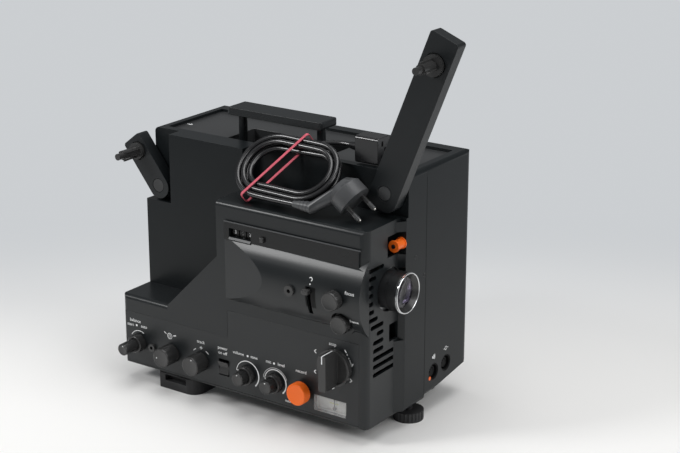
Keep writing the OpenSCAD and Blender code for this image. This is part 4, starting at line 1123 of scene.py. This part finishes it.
@dataclass(frozen=True)
class Print:
    """White print of the panel and the belly: arcs, dots, arrows and plain words.

    Attributes:
        words: each plain word, its middle on the panel and its height.
        spots: middle and radius of each round dot.
        chevrons: point and turn in degrees of each arrow head.
        head: length, half width, overlap and stroke of an arrow head.
        top: place of the arrow on the top.
    """

    words: tuple[tuple[str, Pair, float], ...] = (
        ("balance", (16.8, 50.0), 3.6), ("start", (10.0, 44.6), 3.4), ("auto", (28.6, 45.4), 3.4),
        ("track", (105.6, 46.2), 3.5), ("power", (134.2, 46.0), 3.4), ("on off", (134.2, 40.6), 3.4),
        ("volume", (154.6, 45.4), 3.4), ("tone", (174.6, 45.4), 3.4), ("mic", (192.8, 45.4), 3.4),
        ("level", (208.6, 45.4), 3.4), ("record", (233, 44.4), 3.4), ("stop", (271, 82.4), 3.5),
        ("max", (216.5, 8.6), 3.0))
    spots: tuple[tuple[Pair, float], ...] = (
        ((18.6, 45.0), 1.2), ((166.4, 45.0), 1.2), ((199.6, 45.0), 1.2), ((150.6, 9.4), 0.6),
        ((184.6, 14.0), 0.6), ((290.1, 72.0), 0.6), ((288.2, 75.4), 0.6))
    chevrons: tuple[tuple[Pair, float], ...] = (
        ((249.5, 70.4), 180), ((249.2, 48.8), 180), ((272.6, 37.2), 0), ((293.4, 49.4), 0), ((293.8, 64.9), -70))
    head: tuple[float, float, float, float] = (2.0, 1.9, 0.4, 0.85)
    top: Triple = (24.5, 89, 245.6)

    def chevron(self, at: Pair, turn: float) -> list[Object]:
        """Draws two strokes that meet in a point.

        Args:
            at: the point.
            turn: where it points, in degrees.

        Returns:
            The strokes.
        """
        length, half, overlap, width = self.head
        heading, tip = Matrix.Rotation(math.radians(turn), 2), Vector(at)
        start = tuple(tip + heading @ Vector((overlap, 0)))
        return [straight(start, tuple(tip + heading @ Vector((-length, side * half))), width) for side in (-1, 1)]

    @staticmethod
    def drawn_at(mark: Object, at: Pair) -> Object:
        """Moves a mark that was drawn at the origin to a point of the flat drawing."""
        return put(mark, Matrix.Translation((at[0] * MM, at[1] * MM, 0)))

    def spot(self, at: Pair, radius: float) -> Object:
        """A round dot at a point of the panel."""
        dot = turned("spot", ((INK_FOOT, radius), (0.04, radius), (INK_FACE, radius * 0.8)), 20)
        return self.drawn_at(dot, at)

    def panel(self) -> list[Object]:
        """Draws the print of the control panel.

        Returns:
            Its marks, in place.
        """
        ink = [arc((22, 27), 12.5, (150, 60), (0.6, 0.9)), arc((64, 43.2), 3.0, (0, 360), (0.6, 0.6)),
               arc((64, 43.2), 1.4, (0, 360), (0.5, 0.5)), straight((56.5, 46.5), (59.5, 44.8), 0.8),
               straight((68.8, 44.4), (72.6, 45.4), 1.1), arc((105.5, 25), 14.0, (136, 118), (0.5, 0.9)),
               arc((105.5, 25), 14.0, (62, 44), (0.9, 0.5)), straight((104, 39.8), (107.6, 39.8), 0.8),
               straight((105.8, 38), (105.8, 41.6), 0.8), arc((166, 25), 14.2, (176, -48), (0.55, 1.5)),
               arc((201, 25), 13.4, (176, -48), (0.6, 1.5)), arc((201, 25), 15.2, (172, 20), (0.3, 0.4))]
        ink += [self.drawn_at(lettering(text, height), at) for text, at, height in self.words]
        ink += [self.spot(*row) for row in self.spots]
        ink += [side for row in self.chevrons for side in self.chevron(*row)]
        ink += [straight((285.2, 80), (287.2, 77.2), 0.9), straight((291.0, 70.4), (293.2, 66), 0.8)]
        return [settle(mark, metres(0, 0, 0), Facing.FRONT) for mark in ink]

    def on_belly(self, mark: Object, x: float, z: float) -> Object:
        """Lays a mark that was drawn at the origin on the round of the belly.

        Args:
            mark: the mark.
            x: its place along the body.
            z: its height.

        Returns:
            The same mark.
        """
        depth, height = LENS_AXIS
        lean = math.asin((z - height) / BELLY_RADIUS)
        at = metres(x, depth - BELLY_RADIUS * math.cos(lean), z)
        return put(mark, Matrix.Translation(at) @ Matrix.Rotation(math.pi / 2 - lean, 4, "X"))

    def build(self) -> None:
        """Prints the panel, the belly and the top."""
        marks = self.panel()
        spot = turned("spot", ((-0.1, 0.8), (0.05, 0.8), (0.1, 0.6)), 16)
        marks += [self.on_belly(*row) for row in (
            (lettering("focus", 3.6), 298.3, 143.6), (lettering("frame", 3.2), 301.6, 114.8),
            (arc((0, 0), 1.7, (150, -70), (0.8, 0.8)), 252.8, 148.6), (spot, 252.6, 143.8))]
        arrow = [straight((-3.2, 0), (2.6, 0), 0.9), *self.chevron((3.0, 0), 0)]
        marks += [settle(mark, metres(*self.top), Facing.UP) for mark in arrow]
        placed(joined("panel_print", marks), INK, MAIN_BODY)


@dataclass(frozen=True)
class Strip:
    """Bare dark strip above the belly, with openings for the counter and its reset, its ledge coloured as a painted
    highlight and the counter's sill.

    Attributes:
        columns: sides of the strip and of its openings along the body.
        rows: sides of the strip and of its openings in height.
        openings: column and row of each open field.
        face: where the face of the strip stands.
        thick: thickness of the strip.
        corner: radius of the strip's corners.
        ledge: the ledge over the strip, coloured pale as a painted highlight along its edge.
        sill: the sill below the counter's window.
        fall: how far the sill's front edge falls.
    """

    columns: tuple[float, ...] = (140.6, 146.9, 174.6, 186.6, 191.4, 301.9)
    rows: tuple[float, ...] = (165.3, 168.9, 170.6, 176.4, 178.1, 183.7)
    openings: tuple[tuple[int, int], ...] = ((1, 1), (1, 2), (1, 3), (3, 2))
    face: float = -1.62
    thick: float = 0.2
    corner: float = 2.6
    ledge: Box = ((140.8, -2.4, 183.8), (304.6, -1.2, 185.0), 0.4)
    sill: Box = ((147.2, -3.2, 166.1), (174.3, -1.4, 168.8), 0.12)
    fall: float = 2.0

    def plate(self) -> Object:
        """Models the strip from a grid with open fields and rounded corners.

        Returns:
            The plate, in place.
        """
        across, up = len(self.columns) - 1, len(self.rows) - 1
        obj = added(bpy.ops.mesh.primitive_grid_add, "title_strip", x_subdivisions=across, y_subdivisions=up, size=2)
        for vertex in obj.data.vertices:
            column, row = round((vertex.co.x + 1) / 2 * across), round((vertex.co.y + 1) / 2 * up)
            vertex.co = (self.columns[column] * MM, self.rows[row] * MM, 0)
        ends = [(x * MM, z * MM) for x in (self.columns[0], self.columns[-1]) for z in (self.rows[0], self.rows[-1])]

        def is_open(face: bmesh.types.BMFace) -> bool:
            """Field that is an opening."""
            centre = face.calc_center_median() / MM
            return any(self.columns[c] < centre.x < self.columns[c + 1]
                       and self.rows[r] < centre.y < self.rows[r + 1] for c, r in self.openings)

        def is_corner(vertex: bmesh.types.BMVert) -> bool:
            """Outer corner of the strip."""
            return any(math.dist(vertex.co.xy, end) < 0.01 * MM for end in ends)

        with editing(obj):
            pick(obj, "FACE", is_open)
            bpy.ops.mesh.delete(type="FACE")
            pick(obj, "VERT", is_corner)
            bpy.ops.mesh.bevel(offset=self.corner * MM, segments=5, affect="VERTICES")
            bpy.ops.mesh.select_all(action="SELECT")
            lift(-self.thick)
        return settle(outward(obj), metres(0, self.face, 0), Facing.FRONT)

    def build(self) -> None:
        """Lays the strip, the ledge over it with its painted highlight, and the sill below the counter's window."""
        placed(self.plate(), STRIP, MAIN_BODY)
        # The ledge's pale grey is a painted highlight along the strip's top edge
        placed(block("strip_ledge_highlight", *self.ledge), EDGE_HIGHLIGHT, MAIN_BODY)
        sill = block("counter_sill", *self.sill)
        placed(sloped(sill, (0, -1, 1), (0, 0, -self.fall)), FRONT, MAIN_BODY)


@dataclass(frozen=True)
class Lens:
    """Focusing lens: ribbed barrel, bright grooved rim, dark funnel and a baffle behind the glass.

    Attributes:
        sides: points around its ribbed part.
        band: least and greatest height of the ribbed band.
        rib: height of its ribs.
    """

    sides: int = 168
    band: Pair = (320, 325)
    rib: float = 0.22

    def build(self) -> None:
        """Turns the four pieces along the axis."""
        barrel = hoop("lens_barrel_turned", (
            (290, 15.0), (290, 19.0), (316.6, 19.0), (317.0, 19.6), (317.5, 19.95), (327.3, 19.95), (327.9, 19.5),
            (327.9, 19.35), (326.1, 19.35), (326.1, 15.0)), self.sides)
        ribbed(barrel, *self.band, self.rib, self.sides)
        rim = hoop("lens_rim", (
            (327.9, 19.4), (327.9, 20.2), (328.3, 20.4), (329.0, 20.4), (329.2, 19.95), (330.0, 19.95), (330.2, 20.3),
            (330.7, 20.35), (331.0, 20.05), (331.0, 19.35), (330.7, 19.1), (329.6, 19.1)))
        funnel = hoop("lens_funnel", ((326.1, 15.2), (330.6, 18.5), (330.85, 18.8), (330.7, 19.08), (329.0, 19.3),
                                      (326.1, 19.3)))
        baffle = turned("lens_baffle", ((316.5, 14.95), (319.4, 14.95), (320.2, 14.6), (320.0, 12.4), (318.4, 9.0)), 64)
        for piece, finish, nodes in ((barrel, BARREL, ("lens_barrel",)), (rim, CHROME, ("lens_ring",)),
                                     (funnel, KNOB, ()), (baffle, KNOB, ())):
            settle(smooth(piece, TURNED_SMOOTH), metres(0, *LENS_AXIS), Facing.LENS_END)
            placed(piece, finish, "lens", *nodes)


@dataclass(frozen=True)
class EndFace:
    """Small holes of the lens end, marks over the sockets, the painted shadow in the cover's seam and the fillet at the
    end's step.

    Attributes:
        x: where the end face stands.
        front_x: where the end of the front housing stands.
        holes: distance behind the front, height and radius of each hole.
        rim: height over the end face of each step of a hole's rim, and its radius beyond the hole's.
        sockets: distance behind the front and height of each socket's mark.
        dot: distance behind the front and height of the orange dot.
        spot: height over the end face and radius of each step of that dot.
        seam: a dark strip painted as the shadow in the seam between the frame and the rear cover.
        step: distance behind the front of the end's step.
        fillets: lowest and highest point and width of each length of the fillet.
        crest: width that the fillet keeps at its outer edge.
    """

    x: float = 316.8
    front_x: float = 309.6
    holes: tuple[Triple, ...] = ((75.5, 159.0, 1.5), (92.0, 135.6, 1.7))
    rim: Profile = ((-0.4, 0.5), (0.12, 0.5), (0.2, 0.3), (0.1, 0.0), (-0.35, -0.3))
    sockets: tuple[Pair, Pair] = ((112.6, 41.5), (136.2, 43.3))
    dot: Pair = (105.8, 20.1)
    spot: Profile = ((-0.3, 2.0), (0.1, 2.0), (0.3, 1.6))
    seam: Box = ((316.4, 94.5, 5), (316.85, 95.5, 236), 0.05)
    step: float = 58.0
    fillets: tuple[Triple, ...] = ((2.0, 78.0, 10.0), (78.0, 117.0, 2.6), (153.0, 167.0, 4.0), (190.0, 200.0, 8.0))
    crest: float = 0.4

    def fixed(self, mark: Object, y: float, z: float) -> Object:
        """Puts a piece that was drawn at the origin on the end face."""
        return settle(mark, metres(self.x, y, z), Facing.LENS_END)

    def marks(self) -> None:
        """Prints a filled and an open sign over the two sockets."""
        filled = [straight((-2.6, 0), (-0.6, 0), 2.4), arc((-0.8, 0), 1.9, (-70, 70), (1.3, 1.3)),
                  arc((-0.8, 0), 3.5, (-50, 50), (0.6, 0.6))]
        hollow = [arc((0, 0), 1.9, (0, 360), (0.5, 0.5)), straight((-4.4, 0), (-2.4, 0), 0.5),
                  straight((2.4, 0), (4.4, 0), 0.5)]
        ink = [self.fixed(mark, *at) for sign, at in zip((filled, hollow), self.sockets) for mark in sign]
        placed(joined("socket_print", ink), INK, MAIN_BODY)

    def fillet(self, low: float, high: float, width: float) -> Object:
        """Models one length of the sloping fillet between the front's end and the frame's end.

        Args:
            low: its lowest point.
            high: its highest point.
            width: its width.

        Returns:
            The length, in place.
        """
        lap = 0.1
        wedge = block("fillet", (self.front_x, self.step - width, low), (self.x - lap, self.step + lap, high), 0.15)
        return sloped(wedge, (1, -1, 0), (0, width - self.crest, 0))

    def build(self) -> None:
        """Models the holes as sunk rims, lays the marks, the painted seam shadow and the fillets."""
        self.marks()
        # A dark strip painted as the shadow in the seam between frame and rear cover
        placed(block("painted_seam_shadow", *self.seam), SOCKET_AND_SHADE, MAIN_BODY)
        placed(joined("end_fillet", [self.fillet(*span) for span in self.fillets]), FRONT, MAIN_BODY)
        placed(self.fixed(smooth(turned("socket_dot", self.spot, 24)), *self.dot), ORANGE, MAIN_BODY)
        rims = [self.fixed(turned("rim", [(h, r + beyond) for h, beyond in self.rim], 24), y, z)
                for y, z, r in self.holes]
        placed(joined("end_holes", [smooth(rim) for rim in rims]), KNOB, MAIN_BODY)


def placed(obj: Object, finish: Finish, body: str, *nodes: str) -> Object:
    """Dresses a finished piece, lets it ride a body and stand for CAD nodes.

    Args:
        obj: the piece.
        finish: its finish.
        body: the body that it rides.
        nodes: CAD nodes that it stands for.

    Returns:
        The same piece.
    """
    finish.dress(obj)
    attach(obj, body)
    if nodes:
        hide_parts(*nodes)
    LOG.info("%s rides %s", obj.name, body)
    return obj


def softened(node: Object, width: float) -> Object:
    """Copies a CAD node, breaks its sharp edges and lets the copy stand for it.

    Args:
        node: the CAD node.
        width: width of the broken edges, in millimetres.

    Returns:
        The piece.
    """
    def is_blunt(edge: bmesh.types.BMEdge) -> bool:
        """Edge between two faces that is neither flat nor sharp."""
        return len(edge.link_faces) == 2 and BLUNT_EDGE < math.degrees(edge.calc_face_angle(0.0)) < SHARP_EDGE

    name = node.name
    shell = bpy.data.objects.new(name + "_shell", node.data.copy())
    bpy.context.scene.collection.objects.link(shell)
    with editing(shell):
        bpy.ops.mesh.remove_doubles(threshold=NODE_MERGE)
        bpy.ops.mesh.dissolve_limited(angle_limit=math.radians(NODE_FLAT))
    with editing(shell):
        pick(shell, "EDGE", is_blunt)
        bpy.ops.mesh.mark_sharp()
    modify(shell, "BEVEL", width=width * MM, segments=2, limit_method="ANGLE",
           angle_limit=math.radians(SHARP_EDGE), use_clamp_overlap=True)
    smooth(shell, SHELL_SMOOTH)
    with editing(shell):
        pick(shell, "FACE", lambda face: 2 * face.calc_area() > BROAD_FACE * MM * face.calc_perimeter())
        bpy.ops.mesh.faces_select_linked_flat(sharpness=math.radians(SHELL_FLAT))
        bpy.ops.mesh.region_to_loop()
        bpy.ops.mesh.mark_sharp()
    modify(shell, "WEIGHTED_NORMAL", mode="FACE_AREA", weight=100, keep_sharp=True)
    return placed(shell, NODE_FINISH[name], body_of(node)[0], name)


def dress_nodes(nodes: dict[str, Object]) -> None:
    """Gives every CAD node its finish.

    Args:
        nodes: the CAD nodes.
    """
    for name, node in nodes.items():
        NODE_FINISH[name].dress(node)
        LOG.info("dressed %s", name)


def main() -> None:
    """Builds the studio and the pieces in order."""
    logging.basicConfig(level=logging.INFO, format="%(message)s")
    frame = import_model()
    studio = Studio()
    studio.camera()
    Lead().build(frame["nodes"])
    Shells().build(frame["nodes"])
    Panel().build()
    Counter().build()
    Print().build()
    Strip().build()
    Lens().build()
    EndFace().build()
    dress_nodes(frame["nodes"])
    studio.floor()
    studio.light()
    bpy.context.view_layer.update()


if __name__ == "__main__":
    main()
